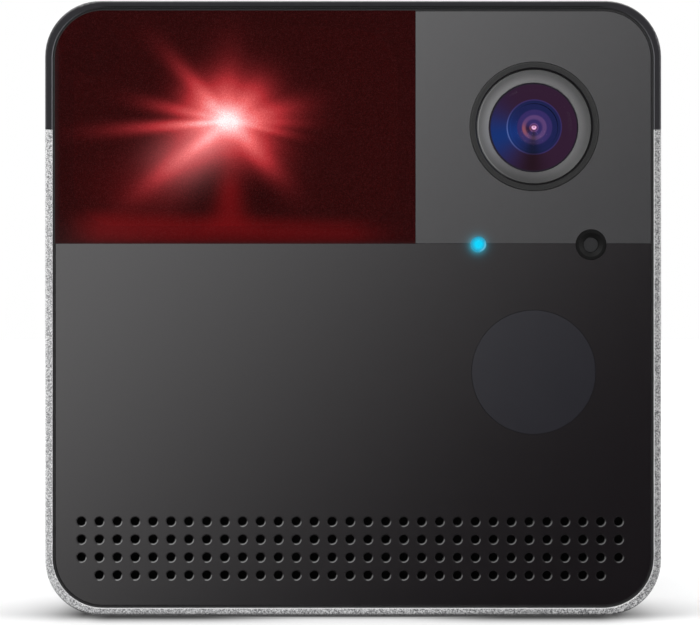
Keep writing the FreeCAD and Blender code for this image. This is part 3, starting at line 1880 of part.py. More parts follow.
def power_socket():
    """Shell and tongue of a small reversible power socket that stands on the main board."""
    high = port_floor - socket_end_gap
    shell = rounded_block(
        "Y", plug_shell_width, plug_shell_height, half_round(plug_shell_height),
        port_x, port_z, board_back, high,
    )
    inner_height = plug_shell_height - 2 * plug_shell_wall
    hollow = rounded_block(
        "Y", plug_shell_width - 2 * plug_shell_wall, inner_height, half_round(inner_height),
        port_x, port_z, board_back + socket_floor, high + past,
    )
    tongue = block(
        (port_x - plug_tongue_width / 2, port_x + plug_tongue_width / 2),
        (board_back + plug_tongue_root, high - plug_tongue_drop),
        (port_z - plug_tongue_height / 2, port_z + plug_tongue_height / 2),
    )
    return shell.cut(hollow).fuse(tongue)


def switch_front():
    return board_back + switch_height


def switch_body():
    """Tactile switch on the board, bored for its plunger."""
    half = switch_width / 2
    body = block(
        (button_x - half, button_x + half), (board_back, switch_front()),
        (button_z - half, button_z + half),
    )
    bore = rod(
        "Y", plunger_radius + plunger_gap, button_x, button_z,
        switch_front() - plunger_foot - button_travel - plunger_gap, switch_front() + past,
    )
    return body.cut(bore)


def switch_plunger():
    return rod(
        "Y", plunger_radius, button_x, button_z,
        switch_front() - plunger_foot, switch_front() + plunger_height,
    )


def setup_button():
    """Round button with a flange that keeps it in the cover and a stem that meets the switch."""
    top = cover_back - button_drop
    flange_back = cover_front - button_gap
    flange_front = flange_back - button_flange_thickness
    stem_end = switch_front() + plunger_height
    start = (button_radius - button_edge, top)
    steps = [
        (button_radius, top - button_edge),
        (button_radius, flange_back),
        (button_radius + button_flange, flange_back),
        (button_radius + button_flange, flange_front),
        (button_stem_radius, flange_front),
        (button_stem_radius, stem_end),
        (0, stem_end),
        (0, top - button_dish),
        ((start[0] / 2, top - button_dish + sag(start[0], button_dish, start[0] / 2)), start),
    ]
    return turned("Y", button_x, button_z, start, steps)


def wifi_antenna():
    """Antenna strip stuck under the chassis roof, behind the plastic cap."""
    left = chamber_right + antenna_side_gap
    return block(
        (left, left + antenna_width),
        (chamber_back - antenna_depth, chamber_back),
        (hold_roof - antenna_thickness, hold_roof),
    )


def case_screws():
    """Eight identical countersunk screws: four through the carrier, four through the rear cover."""
    screws = [sunk_screw(x, z, carrier_front, 1) for x, z in corner_screw_places(front_screw_z)]
    screws += [sunk_screw(x, z, cover_back, -1) for x, z in corner_screw_places(low_screw_z)]
    return Part.makeCompound(screws)


def board_screws():
    """Identical small screws that hold the boards and the pan motor."""
    screws = [pan_screw("Y", x, z, board_front, 1) for x, z in board_screw_places()]
    screws += [pan_screw("Y", x, z, camera_board_back, -1) for x, z in camera_posts()]
    screws += [pan_screw("Y", x, z, front_board_back, -1) for x, z in front_board_bosses()]
    screws += [
        pan_screw("Z", laser_x + dx, pan_motor_y, shelf_bottom - motor_ear_thickness, 1)
        for dx in (-motor_ear_span / 2, motor_ear_span / 2)
    ]
    return Part.makeCompound(screws)


PIECES = (
    lower_housing, top_cap, foot_pad, tripod_insert, chassis_frame,
    front_panel, camera_panel, laser_window, ir_window, front_carrier, speaker_mesh,
    light_pipe, status_led, sensor_shroud, sensor_lens, front_board, ir_leds,
    lens_trim_ring, lens_bezel, lens_barrel, front_lens, inner_lenses, lens_holder,
    filter_slider, filter_glasses, filter_solenoid, image_sensor, camera_board, board_ribbons,
    speaker_basket, speaker_surround, speaker_cone, voice_coil, speaker_magnet,
    speaker_leads,
    laser_shroud, pan_bush, pan_clip, pan_motor, pan_pinion, pan_gear, pan_yoke,
    tilt_motor, tilt_pinion, tilt_gear, laser_cradle, laser_barrel, laser_lens, laser_board,
    rear_cover, main_board, shield_can, heat_sink, power_socket, switch_body, switch_plunger,
    setup_button, wifi_antenna, case_screws, board_screws,
)


def main():
    os.makedirs("parts", exist_ok=True)
    for piece in PIECES:
        shape = piece()
        for solid in shape.Solids:
            if not solid.isValid():
                print("not valid:", piece.__name__)
        print(f"{piece.__name__:18s} {len(shape.Solids):2d} solids {shape.Volume:10.2f} mm3")
        shape.exportStep(f"parts/{piece.__name__}.step")


main()
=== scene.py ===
import math

import bpy
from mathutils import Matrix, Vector


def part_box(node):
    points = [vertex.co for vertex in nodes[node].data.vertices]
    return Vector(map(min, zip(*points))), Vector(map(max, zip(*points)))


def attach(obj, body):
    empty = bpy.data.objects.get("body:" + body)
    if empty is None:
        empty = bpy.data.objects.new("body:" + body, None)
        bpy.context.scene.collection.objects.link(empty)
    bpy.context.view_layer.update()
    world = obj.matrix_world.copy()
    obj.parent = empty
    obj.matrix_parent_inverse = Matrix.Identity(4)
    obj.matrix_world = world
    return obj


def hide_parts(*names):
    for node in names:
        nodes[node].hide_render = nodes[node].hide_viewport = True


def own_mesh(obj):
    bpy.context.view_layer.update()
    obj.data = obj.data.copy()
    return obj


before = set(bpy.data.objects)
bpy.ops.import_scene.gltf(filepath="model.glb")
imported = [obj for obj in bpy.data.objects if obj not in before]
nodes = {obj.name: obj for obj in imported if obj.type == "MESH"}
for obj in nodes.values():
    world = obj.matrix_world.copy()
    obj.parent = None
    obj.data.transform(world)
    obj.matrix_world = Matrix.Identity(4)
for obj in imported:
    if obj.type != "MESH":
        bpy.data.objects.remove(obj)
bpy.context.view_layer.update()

MM = 0.001

# The photograph's view: a level camera with a long lens, square to the front
LENS = 150.0
SENSOR = 36.0
CAMERA_DISTANCE = 406.9 * MM
CAMERA_X = -0.44 * MM
CAMERA_Z = 42.78 * MM


def middle(node):
    """Centre of a CAD node's box."""
    low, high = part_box(node)
    return (low + high) / 2


def front_of(node):
    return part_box(node)[0].y


def srgb(red, green, blue):
    """Linear colour of three 0 to 255 screen values."""
    out = []
    for value in (red, green, blue):
        v = value / 255
        out.append(v / 12.92 if v <= 0.04045 else ((v + 0.055) / 1.055) ** 2.4)
    return (*out, 1.0)


# Node tools


def add(tree, kind, inputs=None, **settings):
    """New shader node. Inputs are sockets to link or constants to set."""
    made = tree.nodes.new("ShaderNode" + kind)
    for name, value in settings.items():
        setattr(made, name, value)
    for name, value in (inputs or {}).items():
        fill(tree, made.inputs[name], value)
    return made


def fill(tree, socket, value):
    if isinstance(value, bpy.types.NodeSocket):
        tree.links.new(value, socket)
    else:
        socket.default_value = value


def calc(tree, operation, a, b=0.0, clamp=False):
    """One step of arithmetic."""
    made = add(tree, "Math", operation=operation, use_clamp=clamp)
    fill(tree, made.inputs[0], a)
    fill(tree, made.inputs[1], b)
    return made.outputs[0]


def times(tree, a, b, clamp=False):
    return calc(tree, "MULTIPLY", a, b, clamp)


def plus(tree, a, b, clamp=False):
    return calc(tree, "ADD", a, b, clamp)


def minus(tree, a, b, clamp=False):
    return calc(tree, "SUBTRACT", a, b, clamp)


def over(tree, a, b, clamp=False):
    return calc(tree, "DIVIDE", a, b, clamp)


def between(tree, value, low, high, start=0.0, end=1.0):
    """Value eased from start to end as it goes from low to high."""
    made = add(
        tree, "MapRange", {"Value": value, "From Min": low, "From Max": high, "To Min": start, "To Max": end},
        interpolation_type="SMOOTHSTEP",
    )
    return made.outputs[0]


def blend_colours(tree, share, a, b, way="MIX"):
    made = add(tree, "Mix", data_type="RGBA", blend_type=way)
    fill(tree, made.inputs[0], share)
    fill(tree, made.inputs[6], a)
    fill(tree, made.inputs[7], b)
    return made.outputs[2]


def shades(tree, value, stops):
    """Colour ramp. Stops are (place, colour)."""
    made = add(tree, "ValToRGB", {"Fac": value})
    ramp = made.color_ramp
    while len(ramp.elements) < len(stops):
        ramp.elements.new(1.0)
    for element, (place, colour) in zip(ramp.elements, stops):
        element.position = place
        element.color = colour
    return made.outputs[0]


def object_place(tree):
    return add(tree, "TexCoord").outputs["Object"]


def axes(tree, vector):
    """X, Y and Z of a vector."""
    return add(tree, "SeparateXYZ", {"Vector": vector}).outputs


def place_axes(tree):
    return axes(tree, object_place(tree))


def normal_axes(tree):
    return axes(tree, add(tree, "NewGeometry").outputs["Normal"])


def across_and_up(tree, centre):
    """Millimetres to the right of and above a centre, seen from the front."""
    parts = place_axes(tree)
    across = times(tree, minus(tree, parts[0], centre.x), 1 / MM)
    up = times(tree, minus(tree, parts[2], centre.z), 1 / MM)
    return across, up


def distance(tree, across, up):
    both = plus(tree, times(tree, across, across), times(tree, up, up))
    return calc(tree, "SQRT", both)


def bell(tree, value, width):
    """Bell curve: 1 at nought, e to the -1 one width away."""
    share = over(tree, value, width)
    return calc(tree, "EXPONENT", times(tree, times(tree, share, share), -1.0))


def noise(tree, scale, detail=2.0, rough=0.5, where=None):
    inputs = {"Vector": where or object_place(tree), "Scale": scale, "Detail": detail, "Roughness": rough}
    return add(tree, "TexNoise", inputs).outputs["Fac"]


def new_group(name, inputs, outputs):
    """Empty shader node group. Inputs are (name, kind, default); outputs are (name, kind)."""
    tree = bpy.data.node_groups.new(name, "ShaderNodeTree")
    for label, kind, default in inputs:
        socket = tree.interface.new_socket(label, in_out="INPUT", socket_type="NodeSocket" + kind)
        socket.default_value = default
    for label, kind in outputs:
        tree.interface.new_socket(label, in_out="OUTPUT", socket_type="NodeSocket" + kind)
    return tree, tree.nodes.new("NodeGroupInput").outputs, tree.nodes.new("NodeGroupOutput").inputs


def use(tree, group, **inputs):
    """A group placed in a material. Input names have underscores for spaces."""
    made = tree.nodes.new("ShaderNodeGroup")
    made.node_tree = group
    for name, value in inputs.items():
        fill(tree, made.inputs[name.replace("_", " ")], value)
    return made.outputs


# Effects that several finishes share


def make_skin_group():
    """Fine surface grain: mottled colour, uneven gloss and a bumped normal."""
    tree, given, result = new_group(
        "surface skin",
        [
            ("Colour", "Color", (0.5, 0.5, 0.5, 1)), ("Roughness", "Float", 0.5), ("Grain", "Float", 3000.0),
            ("Depth", "Float", 0.00001), ("Mottle", "Float", 0.1),
        ],
        [("Colour", "Color"), ("Roughness", "Float"), ("Normal", "Vector")],
    )
    grain = noise(tree, given["Grain"], 3.0, 0.6)
    cloudy = noise(tree, 60.0, 2.0)
    both = plus(tree, times(tree, grain, 0.75), times(tree, cloudy, 0.25))
    swing = times(tree, minus(tree, both, 0.5), given["Mottle"])
    shade = plus(tree, 1.0, times(tree, swing, 2.0))
    scaled = add(tree, "VectorMath", operation="SCALE")
    fill(tree, scaled.inputs[0], given["Colour"])
    fill(tree, scaled.inputs["Scale"], shade)
    fill(tree, result["Colour"], scaled.outputs[0])
    fill(tree, result["Roughness"], plus(tree, given["Roughness"], swing))
    bump = add(tree, "Bump", {"Height": grain, "Distance": given["Depth"], "Strength": 1.0})
    fill(tree, result["Normal"], bump.outputs[0])
    return tree


# How far from its centre a ray is full, in mm
RAY_START = 3.6


def make_ray_group():
    """One ray of a starburst that leaves the centre at an angle, widens and fades out."""
    tree, given, result = new_group(
        "light ray",
        [
            ("Across", "Float", 0.0), ("Up", "Float", 0.0), ("Angle", "Float", 0.0), ("Spread", "Float", 0.1),
            ("Core", "Float", 0.3), ("Reach", "Float", 6.0),
        ],
        [("Mask", "Float")],
    )
    cosine = calc(tree, "COSINE", given["Angle"])
    sine = calc(tree, "SINE", given["Angle"])
    along = plus(
        tree, times(tree, given["Across"], cosine), times(tree, given["Up"], sine)
    )
    side = minus(
        tree, times(tree, given["Up"], cosine),
        times(tree, given["Across"], sine),
    )
    width = plus(tree, times(tree, along, given["Spread"]), given["Core"])
    narrow = bell(tree, side, calc(tree, "MAXIMUM", width, 0.05))
    fading = bell(tree, along, given["Reach"])
    ahead = over(tree, along, RAY_START, clamp=True)
    fill(tree, result["Mask"], times(tree, times(tree, narrow, fading), ahead))
    return tree


def make_band_group():
    """Soft ring, or a disc where Inner is negative, from a distance to its centre."""
    tree, given, result = new_group(
        "soft band",
        [
            ("Distance", "Float", 0.0), ("Inner", "Float", -1.0), ("Outer", "Float", 1.0),
            ("Edge", "Float", 0.1),
        ],
        [("Mask", "Float")],
    )
    rise = between(
        tree, given["Distance"], minus(tree, given["Inner"], given["Edge"]),
        plus(tree, given["Inner"], given["Edge"]),
    )
    drop = between(
        tree, given["Distance"], minus(tree, given["Outer"], given["Edge"]),
        plus(tree, given["Outer"], given["Edge"]), 1.0, 0.0,
    )
    fill(tree, result["Mask"], times(tree, rise, drop))
    return tree


def make_glow_group():
    """Light that fades away outside a small lamp: 1 at its edge, e to the -1 one Reach further."""
    tree, given, result = new_group(
        "glow",
        [
            ("Across", "Float", 0.0), ("Up", "Float", 0.0), ("Radius", "Float", 1.0), ("Reach", "Float", 0.5),
            ("Colour", "Color", (1, 1, 1, 1)),
        ],
        [("Colour", "Color")],
    )
    out = minus(tree, distance(tree, given["Across"], given["Up"]), given["Radius"])
    share = over(tree, calc(tree, "MAXIMUM", out, 0.0), given["Reach"])
    level = calc(tree, "EXPONENT", times(tree, share, -1.0))
    scaled = add(tree, "VectorMath", operation="SCALE")
    fill(tree, scaled.inputs[0], given["Colour"])
    fill(tree, scaled.inputs["Scale"], level)
    fill(tree, result["Colour"], scaled.outputs[0])
    return tree


def make_track_group():
    """Board tracks: crooked cells with a raised edge, and small plated holes."""
    tree, given, result = new_group(
        "board tracks",
        [("Scale", "Float", 600.0), ("Mask colour", "Color", (0.01, 0.05, 0.02, 1))],
        [("Colour", "Color"), ("Metal", "Float"), ("Height", "Float")],
    )
    where = object_place(tree)
    cells = add(
        tree, "TexBrick", {
            "Vector": add(tree, "Mapping", {"Vector": where, "Rotation": (math.pi / 2, 0, 0)}).outputs[0],
            "Scale": given["Scale"], "Mortar Size": 0.08, "Brick Width": 1.7, "Row Height": 0.5,
        },
        offset=0.37,
    )
    track = cells.outputs["Fac"]
    dots = add(tree, "TexVoronoi", {"Vector": where, "Scale": times(tree, given["Scale"], 0.7)})
    hole = between(tree, dots.outputs["Distance"], 0.14, 0.18, 1.0, 0.0)
    lighter = blend_colours(tree, 0.35, given["Mask colour"], (0.08, 0.16, 0.06, 1))
    base = blend_colours(tree, track, given["Mask colour"], lighter)
    fill(tree, result["Colour"], blend_colours(tree, hole, base, (0.75, 0.55, 0.25, 1)))
    fill(tree, result["Metal"], hole)
    fill(tree, result["Height"], track)
    return tree


SKIN = make_skin_group()
RAY = make_ray_group()
BAND = make_band_group()
GLOW = make_glow_group()
TRACKS = make_track_group()


# Finishes


def blank(name):
    """New material, its node tree and its shader."""
    material = bpy.data.materials.new(name)
    material.use_nodes = True
    return material, material.node_tree, material.node_tree.nodes["Principled BSDF"]


def wear(tree, shader, skin):
    """Gives a shader the colour, roughness and normal of a surface skin."""
    for socket, output in (("Base Color", "Colour"), ("Roughness", "Roughness"), ("Normal", "Normal")):
        fill(tree, shader.inputs[socket], skin[output])


def settings(shader, **values):
    """Constant inputs of a shader. Names have underscores for spaces."""
    for socket, value in values.items():
        shader.inputs[socket.replace("_", " ")].default_value = value


def grained(name, colour, roughness, grain=3000.0, depth=0.00001, mottle=0.1, metal=0.0, **fixed):
    """Solid colour with a fine grain: moulded plastic, rubber or bare metal."""
    material, tree, shader = blank(name)
    skin = use(tree, SKIN, Colour=colour, Roughness=roughness, Grain=grain, Depth=depth, Mottle=mottle)
    wear(tree, shader, skin)
    settings(shader, Metallic=metal)
    settings(shader, **fixed)
    return material


def bevel_highlight_mask(tree, right, left, up):
    """Mask of painted highlights on the narrow bevels that face half forwards, by how far they also turn
    right, left or up.
    """
    normal = normal_axes(tree)
    forwards = times(tree, normal[1], -1.0)
    bevel = times(
        tree, between(tree, forwards, 0.60, 0.67), between(tree, forwards, 0.75, 0.82, 1.0, 0.0)
    )
    turns = [
        times(tree, normal[axis], share)
        for axis, share in ((0, right), (0, -left), (2, up)) if share
    ]
    most = turns[0]
    for turn in turns[1:]:
        most = calc(tree, "MAXIMUM", most, turn)
    most = over(tree, most, 0.7, clamp=True)
    return times(tree, bevel, calc(tree, "POWER", most, 2.0))


def bead_blasted_aluminium():
    """Silver with a coarse sparkle from the blasting beads, lighter to the left as its light falls, with
    painted shade to the right, low down and on faces that turn down, and painted highlights on its narrow
    bevels.
    """
    material, tree, shader = blank("bead blasted aluminium")
    parts = place_axes(tree)
    low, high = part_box("lower_housing")
    speck = noise(tree, 5987.0, 2.0, 0.8)
    contrast = between(tree, parts[0], low.x, high.x, 2.0, 3.0)
    swing = times(tree, minus(tree, speck, 0.5), contrast)
    tone = shades(
        tree, plus(tree, swing, 0.5),
        [
            (0.15, srgb(96, 96, 98)), (0.36, srgb(156, 156, 158)), (0.5, srgb(198, 198, 199)),
            (0.75, srgb(250, 250, 250)),
        ],
    )
    # painted shade: darker towards the right, less so low on the wall
    wall = between(tree, parts[2], low.z + 1 * MM, low.z + 5 * MM, 0.3, 1.0)
    dim = times(tree, wall, between(tree, parts[0], low.x, high.x, -0.02, 0.38))
    # painted shade under the bottom edge and on faces that turn down
    under = between(tree, parts[2], low.z, low.z + 0.6 * MM, 0.5, 0.0)
    facing = normal_axes(tree)
    turned_down = times(tree, facing[1], -1.0)
    turned_down = times(tree, between(tree, facing[2], -0.3, -0.6), turned_down, clamp=True)
    under = calc(tree, "MAXIMUM", under, times(tree, turned_down, 1.1))
    tone = blend_colours(tree, dim, tone, (0, 0, 0, 1))
    tone = blend_colours(tree, under, tone, (0.02, 0.02, 0.02, 1))
    # painted highlight on the narrow bevels
    bright = times(tree, bevel_highlight_mask(tree, 0.62, 1.0, 1.0), 0.6)
    fill(tree, shader.inputs["Base Color"], blend_colours(tree, bright, tone, (0.9, 0.9, 0.9, 1)))
    fill(tree, shader.inputs["Roughness"], between(tree, speck, 0.3, 0.7, 0.52, 0.38))
    pits = noise(tree, 3600.0, 3.0, 0.6)
    bump = add(tree, "Bump", {"Height": pits, "Distance": 0.00002, "Strength": 0.8})
    fill(tree, shader.inputs["Normal"], bump.outputs[0])
    settings(shader, Metallic=0.35)
    return material


def top_edge(tree):
    """Masks of the cap's front top edge: a painted shade stripe in the lip, and a painted highlight on the
    round edge.
    """
    low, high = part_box("top_cap")
    parts = place_axes(tree)
    drop = minus(tree, high.z, parts[2])
    off_line = calc(tree, "ABSOLUTE", minus(tree, drop, 0.84 * MM))
    shade_line = between(tree, off_line, 0.06 * MM, 0.1 * MM, 1.0, 0.0)
    straight = between(tree, calc(tree, "ABSOLUTE", parts[0]), high.x - 9 * MM, high.x - 7 * MM, 1.0, 0.0)
    near_front = between(tree, parts[1], low.y + 0.5 * MM, low.y + 0.8 * MM, 1.0, 0.0)
    shade_line = times(tree, times(tree, shade_line, straight), near_front)
    up = normal_axes(tree)[2]
    top_highlight = times(tree, between(tree, up, 0.3, 0.9), near_front)
    return shade_line, top_highlight


def satin_cap():
    """Dark satin moulding, with painted highlights on its narrow bevels and round top edge and a painted
    shade stripe in its lip.
    """
    material, tree, shader = blank("satin cap")
    # painted highlight colour on the bevels; the painted shade stripe and top-edge highlight follow
    colour = blend_colours(tree, bevel_highlight_mask(tree, 1.0, 0.8, 0.0), srgb(35, 34, 38), srgb(102, 102, 106))
    shade_line, top_highlight = top_edge(tree)
    colour = blend_colours(tree, shade_line, colour, (0.001, 0.001, 0.001, 1))
    colour = blend_colours(tree, top_highlight, colour, (0.2, 0.2, 0.2, 1))
    skin = use(tree, SKIN, Colour=colour, Roughness=0.42, Grain=4200.0, Depth=0.000006, Mottle=0.12)
    wear(tree, shader, skin)
    return material


def status_glow(tree):
    """Cyan light that spills from the status light over the panels."""
    across, up = across_and_up(tree, middle("light_pipe") + Vector((-0.00012, 0, -0.0001)))
    glow = use(tree, GLOW, Across=across, Up=up, Radius=0.72, Reach=0.33, Colour=(0.0, 0.48, 0.66, 1))
    return glow["Colour"]


def hole_edge_highlights(tree, colour):
    """Colour of the speaker panel: painted highlights on the lower right edges of the grille's holes,
    brighter towards the left.
    """
    low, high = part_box("speaker_mesh")
    normal = normal_axes(tree)
    parts = place_axes(tree)
    turn = plus(
        tree, times(tree, normal[0], -0.6), times(tree, normal[2], 0.8)
    )
    lit = between(tree, turn, 0.2, 0.6)
    grille = calc(tree, "LESS_THAN", parts[2], high.z + 1 * MM)
    inside = calc(tree, "LESS_THAN", calc(tree, "ABSOLUTE", parts[0]), high.x + 1 * MM)
    above = calc(tree, "GREATER_THAN", parts[2], low.z - 1 * MM)
    share = times(tree, times(tree, lit, grille), times(tree, inside, above))
    paler = between(tree, parts[0], low.x, high.x, 0.22, 0.09)
    tint = add(tree, "CombineXYZ", {"X": paler, "Y": paler, "Z": paler}).outputs[0]
    return blend_colours(tree, share, colour, tint)


def glossy_panel(name, colour, roughness, grille=False):
    """Back-painted front panel: deep colour under a smooth face with the faintest unevenness."""
    material, tree, shader = blank(name)
    if grille:
        colour = hole_edge_highlights(tree, colour)
    skin = use(tree, SKIN, Colour=colour, Roughness=roughness, Grain=900.0, Depth=0.0000002, Mottle=0.05)
    wear(tree, shader, skin)
    # painted glow: the status light's cyan light spilt over the panel
    fill(tree, shader.inputs["Emission Color"], status_glow(tree))
    settings(shader, Emission_Strength=1.0)
    return material


def add_up(tree, parts):
    total = parts[0]
    for part in parts[1:]:
        total = plus(tree, total, part)
    return total


# Rays of the laser's glare: angle in degrees, spread, core in mm, reach in mm, strength
RAYS = (
    (184.3, 0.035, 0.26, 5.8, 1.70),
    (184.3, 0.040, 0.36, 11.0, 0.80),
    (168.0, 0.070, 0.24, 7.4, 1.00),
    (147.0, 0.240, 0.60, 4.4, 2.30),
    (133.0, 0.060, 0.55, 8.2, 0.62),
    (102.0, 0.260, 0.60, 4.3, 0.70),
    (90.0, 0.150, 0.60, 8.0, 0.15),
    (46.0, 0.240, 0.50, 4.8, 1.00),
    (11.0, 0.130, 0.40, 6.6, 1.00),
    (-2.0, 0.050, 0.30, 6.2, 0.90),
    (-12.0, 0.045, 0.25, 5.4, 1.35),
    (-30.0, 0.150, 0.40, 6.0, 0.40),
    (-48.0, 0.085, 0.75, 6.8, 1.25),
    (218.0, 0.065, 0.50, 9.8, 1.10),
    (218.0, 0.260, 0.60, 8.8, 1.10),
    (190.0, 0.120, 0.50, 5.6, 0.90),
)
# Round glow and bright core behind the rays: reaches in mm, strengths on the rays' scale
GLOW_REACH = 3.7
GLOW_POWER = 1.6
GLOW_STRENGTH = 1.6
CORE_REACH = 1.85
CORE_STRENGTH = 3.1
# Colours of the glare by its strength, up to the strength that is white
GLARE_TOP = 5.0
GLARE_SHADES = (
    (0.0, (30, 8, 8)), (0.4, (160, 45, 50)), (1.3, (220, 100, 100)), (3.2, (245, 185, 185)),
    (GLARE_TOP, (255, 245, 245)),
)


def glare_level(tree, across, up):
    """Strength of the laser's glare: its rays, the glow round them and the core."""
    out = distance(tree, across, up)
    parts = []
    for angle, spread, core, reach, strength in RAYS:
        ray = use(
            tree, RAY, Across=across, Up=up, Angle=math.radians(angle), Spread=spread, Core=core, Reach=reach
        )
        parts.append(times(tree, ray["Mask"], strength))
    share = calc(tree, "POWER", over(tree, out, GLOW_REACH), GLOW_POWER)
    parts.append(times(tree, calc(tree, "EXPONENT", times(tree, share, -1.0)), GLOW_STRENGTH))
    parts.append(times(tree, bell(tree, out, CORE_REACH), CORE_STRENGTH))
    return add_up(tree, parts)


def floor_glow(tree, across, up):
    """Red light low in the window, with a foot that rises under the laser."""
    sloped = plus(tree, up, times(tree, across, 0.035))
    low = between(tree, up, -18.6, -15.2)
    high = between(tree, sloped, -15.4, -12.2, 1.0, 0.0)
    left = between(tree, across, -24.0, -17.0)
    right = between(tree, across, 15.0, 25.0, 1.0, 0.0)
    strip = minus(tree, 0.066, times(tree, across, 0.0007))
    for edge in (low, high, left, right):
        strip = times(tree, strip, edge)
    height = calc(tree, "MAXIMUM", plus(tree, up, 17.0), 1.5)
    waist = plus(tree, 0.9, over(tree, 6.0, height))
    rise = use(tree, BAND, Distance=up, Inner=-14.4, Outer=-7.6, Edge=2.3)
    foot = times(tree, bell(tree, across, waist), rise["Mask"])
    side = times(tree, spot(tree, across, up, -14.5, -9.8, 5.5, 3.6), 0.012)
    return add_up(tree, [strip, times(tree, foot, 0.078), side])


def spot(tree, across, up, x, z, wide, tall):
    """Soft oval spot round a place."""
    side = bell(tree, minus(tree, across, x), wide)
    return times(tree, side, bell(tree, minus(tree, up, z), tall))


def tinted_window():
    """Dark red window with the laser's glare painted in it as glow, with painted dark patches, scattered
    light and grain in that glow, and the red light that the glare throws low in its chamber painted on too.
    """
    material, tree, shader = blank("tinted window")
    across, up = across_and_up(tree, middle("laser_lens") + Vector((-0.12, 0, 0.20)) * MM)
    speckle = minus(tree, noise(tree, 6500.0, 2.0, 0.8), 0.5)
    level = over(tree, glare_level(tree, across, up), GLARE_TOP)
    level = times(tree, level, plus(tree, 1.0, times(tree, speckle, 1.1)))
    level = plus(tree, level, plus(tree, times(tree, speckle, 0.017), 0.0015), clamp=True)
    glare = shades(tree, level, [(place / GLARE_TOP, srgb(*colour)) for place, colour in GLARE_SHADES])
    # painted shade: two dark patches low in the glare
    dark = plus(
        tree, times(tree, spot(tree, across, up, -4.9, -9.8, 2.8, 2.4), 0.16),
        times(tree, spot(tree, across, up, 5.0, -9.9, 3.6, 2.5), 0.25),
    )
    glare = blend_colours(tree, dark, glare, (0, 0, 0, 1))
    # painted scattered light: soft spots of it, and grain in the glow that grows with its strength
    haze_spots = add_up(tree, [
        times(tree, spot(tree, across, up, *place), share)
        for place, share in (
            ((-3.0, -2.8, 3.0, 2.6), 0.070), ((-6.4, -5.4, 4.2, 3.4), 0.045), ((-22, -17, 10, 3.0), 0.004),
        )
    ])
    grain_glow = calc(tree, "MAXIMUM", speckle, 0.0)
    grain_glow = times(tree, grain_glow, plus(tree, times(tree, level, 0.35), 0.022))
    scattered_glow = blend_colours(tree, plus(tree, haze_spots, grain_glow), (0, 0, 0, 1), (1, 1, 1, 1))
    # painted red light low in the chamber
    low_light = blend_colours(tree, floor_glow(tree, across, up), (0, 0, 0, 1), (1.0, 0.015, 0.025, 1))
    glare = blend_colours(tree, 1.0, blend_colours(tree, 1.0, glare, scattered_glow, "ADD"), low_light, "ADD")
    fill(tree, shader.inputs["Emission Color"], edge_shade(tree, glare))
    settings(shader, Emission_Strength=1.0)
    clouds = noise(tree, 90.0, 2.0)
    tint = blend_colours(tree, clouds, (0.030, 0.001, 0.001, 1), (0.050, 0.001, 0.002, 1))
    fill(tree, shader.inputs["Base Color"], tint)
    settings(shader, Transmission_Weight=0.93, Roughness=0.08, IOR=1.1)
    return material


def edge_shade(tree, glare):
    """Glare dimmed along the window's left and lower edges, where its chamber's walls close it off."""
    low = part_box("laser_window")[0]
    parts = place_axes(tree)
    left = between(tree, parts[0], low.x, low.x + 0.9 * MM, 0.6, 0.0)
    under = between(tree, parts[2], low.z, low.z + 0.6 * MM, 0.35, 0.0)
    return blend_colours(tree, plus(tree, left, under), glare, (0.024, 0.014, 0.015, 1))


def infrared_filter():
    """Smoky filter, a little paler than the panel round it."""
    material, tree, shader = blank("infrared filter")
    skin = use(
        tree, SKIN, Colour=(0.0124, 0.0120, 0.0158, 1), Roughness=0.2, Grain=700.0, Depth=0.0000002,
        Mottle=0.06,
    )
    wear(tree, shader, skin)
    return material


def speaker_cloth():
    """Black woven cloth: threads over and under each other."""
    material, tree, shader = blank("speaker cloth")
    parts = place_axes(tree)
    turns = 2 * math.pi / (0.32 * MM)
    warp = calc(tree, "SINE", times(tree, parts[0], turns))
    weft = calc(tree, "SINE", times(tree, parts[2], turns))
    height = times(tree, warp, weft)
    level = between(tree, height, -1.0, 1.0)
    fill(
        tree, shader.inputs["Base Color"],
        shades(tree, level, [(0.0, (0.001, 0.001, 0.001, 1)), (1.0, (0.006, 0.006, 0.006, 1))]),
    )
    bump = add(tree, "Bump", {"Height": level, "Distance": 0.00006, "Strength": 1.0})
    fill(tree, shader.inputs["Normal"], bump.outputs[0])
    fill(tree, shader.inputs["Roughness"], between(tree, level, 0.0, 1.0, 0.95, 0.75))
    return material


def lit_light_pipe():
    """Clear rod lit cyan from behind, with a painted highlight on its right edge."""
    material, tree, shader = blank("lit light pipe")
    across, up = across_and_up(tree, middle("light_pipe"))
    out = distance(tree, across, up)
    edge = use(tree, BAND, Distance=out, Inner=0.82, Outer=1.04, Edge=0.05)
    side = between(tree, minus(tree, across, times(tree, up, 0.5)), 0.4, 1.0, 0.0, 0.25)
    rim_highlight = times(tree, edge["Mask"], side)
    body = shades(
        tree, over(tree, out, 1.2),
        [(0.35, srgb(10, 210, 250)), (0.92, srgb(50, 130, 160))],
    )
    fill(tree, shader.inputs["Emission Color"], blend_colours(tree, rim_highlight, body, srgb(170, 238, 255)))
    settings(shader, Emission_Strength=1.0, Base_Color=(0.0, 0.02, 0.03, 1))
    fill(tree, shader.inputs["Roughness"], between(tree, noise(tree, 1500.0), 0.3, 0.7, 0.2, 0.3))
    return material


# Colours of the lens coatings' painted reflections, and of the painted light that they mirror from the left
MAROON = (50, 30, 50)
NAVY = (30, 35, 75)
VIOLET = (55, 45, 95)
MAUVE = (90, 65, 110)
LILAC = (110, 75, 125)
BLUE_LIGHT = (25, 50, 110)
PALE_LIGHT = (80, 100, 160)
WARM_LIGHT = (140, 80, 90)
# Where that painted light and the painted dark foot under it lie, as shares of a turn, and what the dark foot
# leaves of a colour
LEFT_TURN = 0.96
FOOT_TURN = 0.76
FOOT_DARKENING = (0.6, 0.6, 0.4, 1)


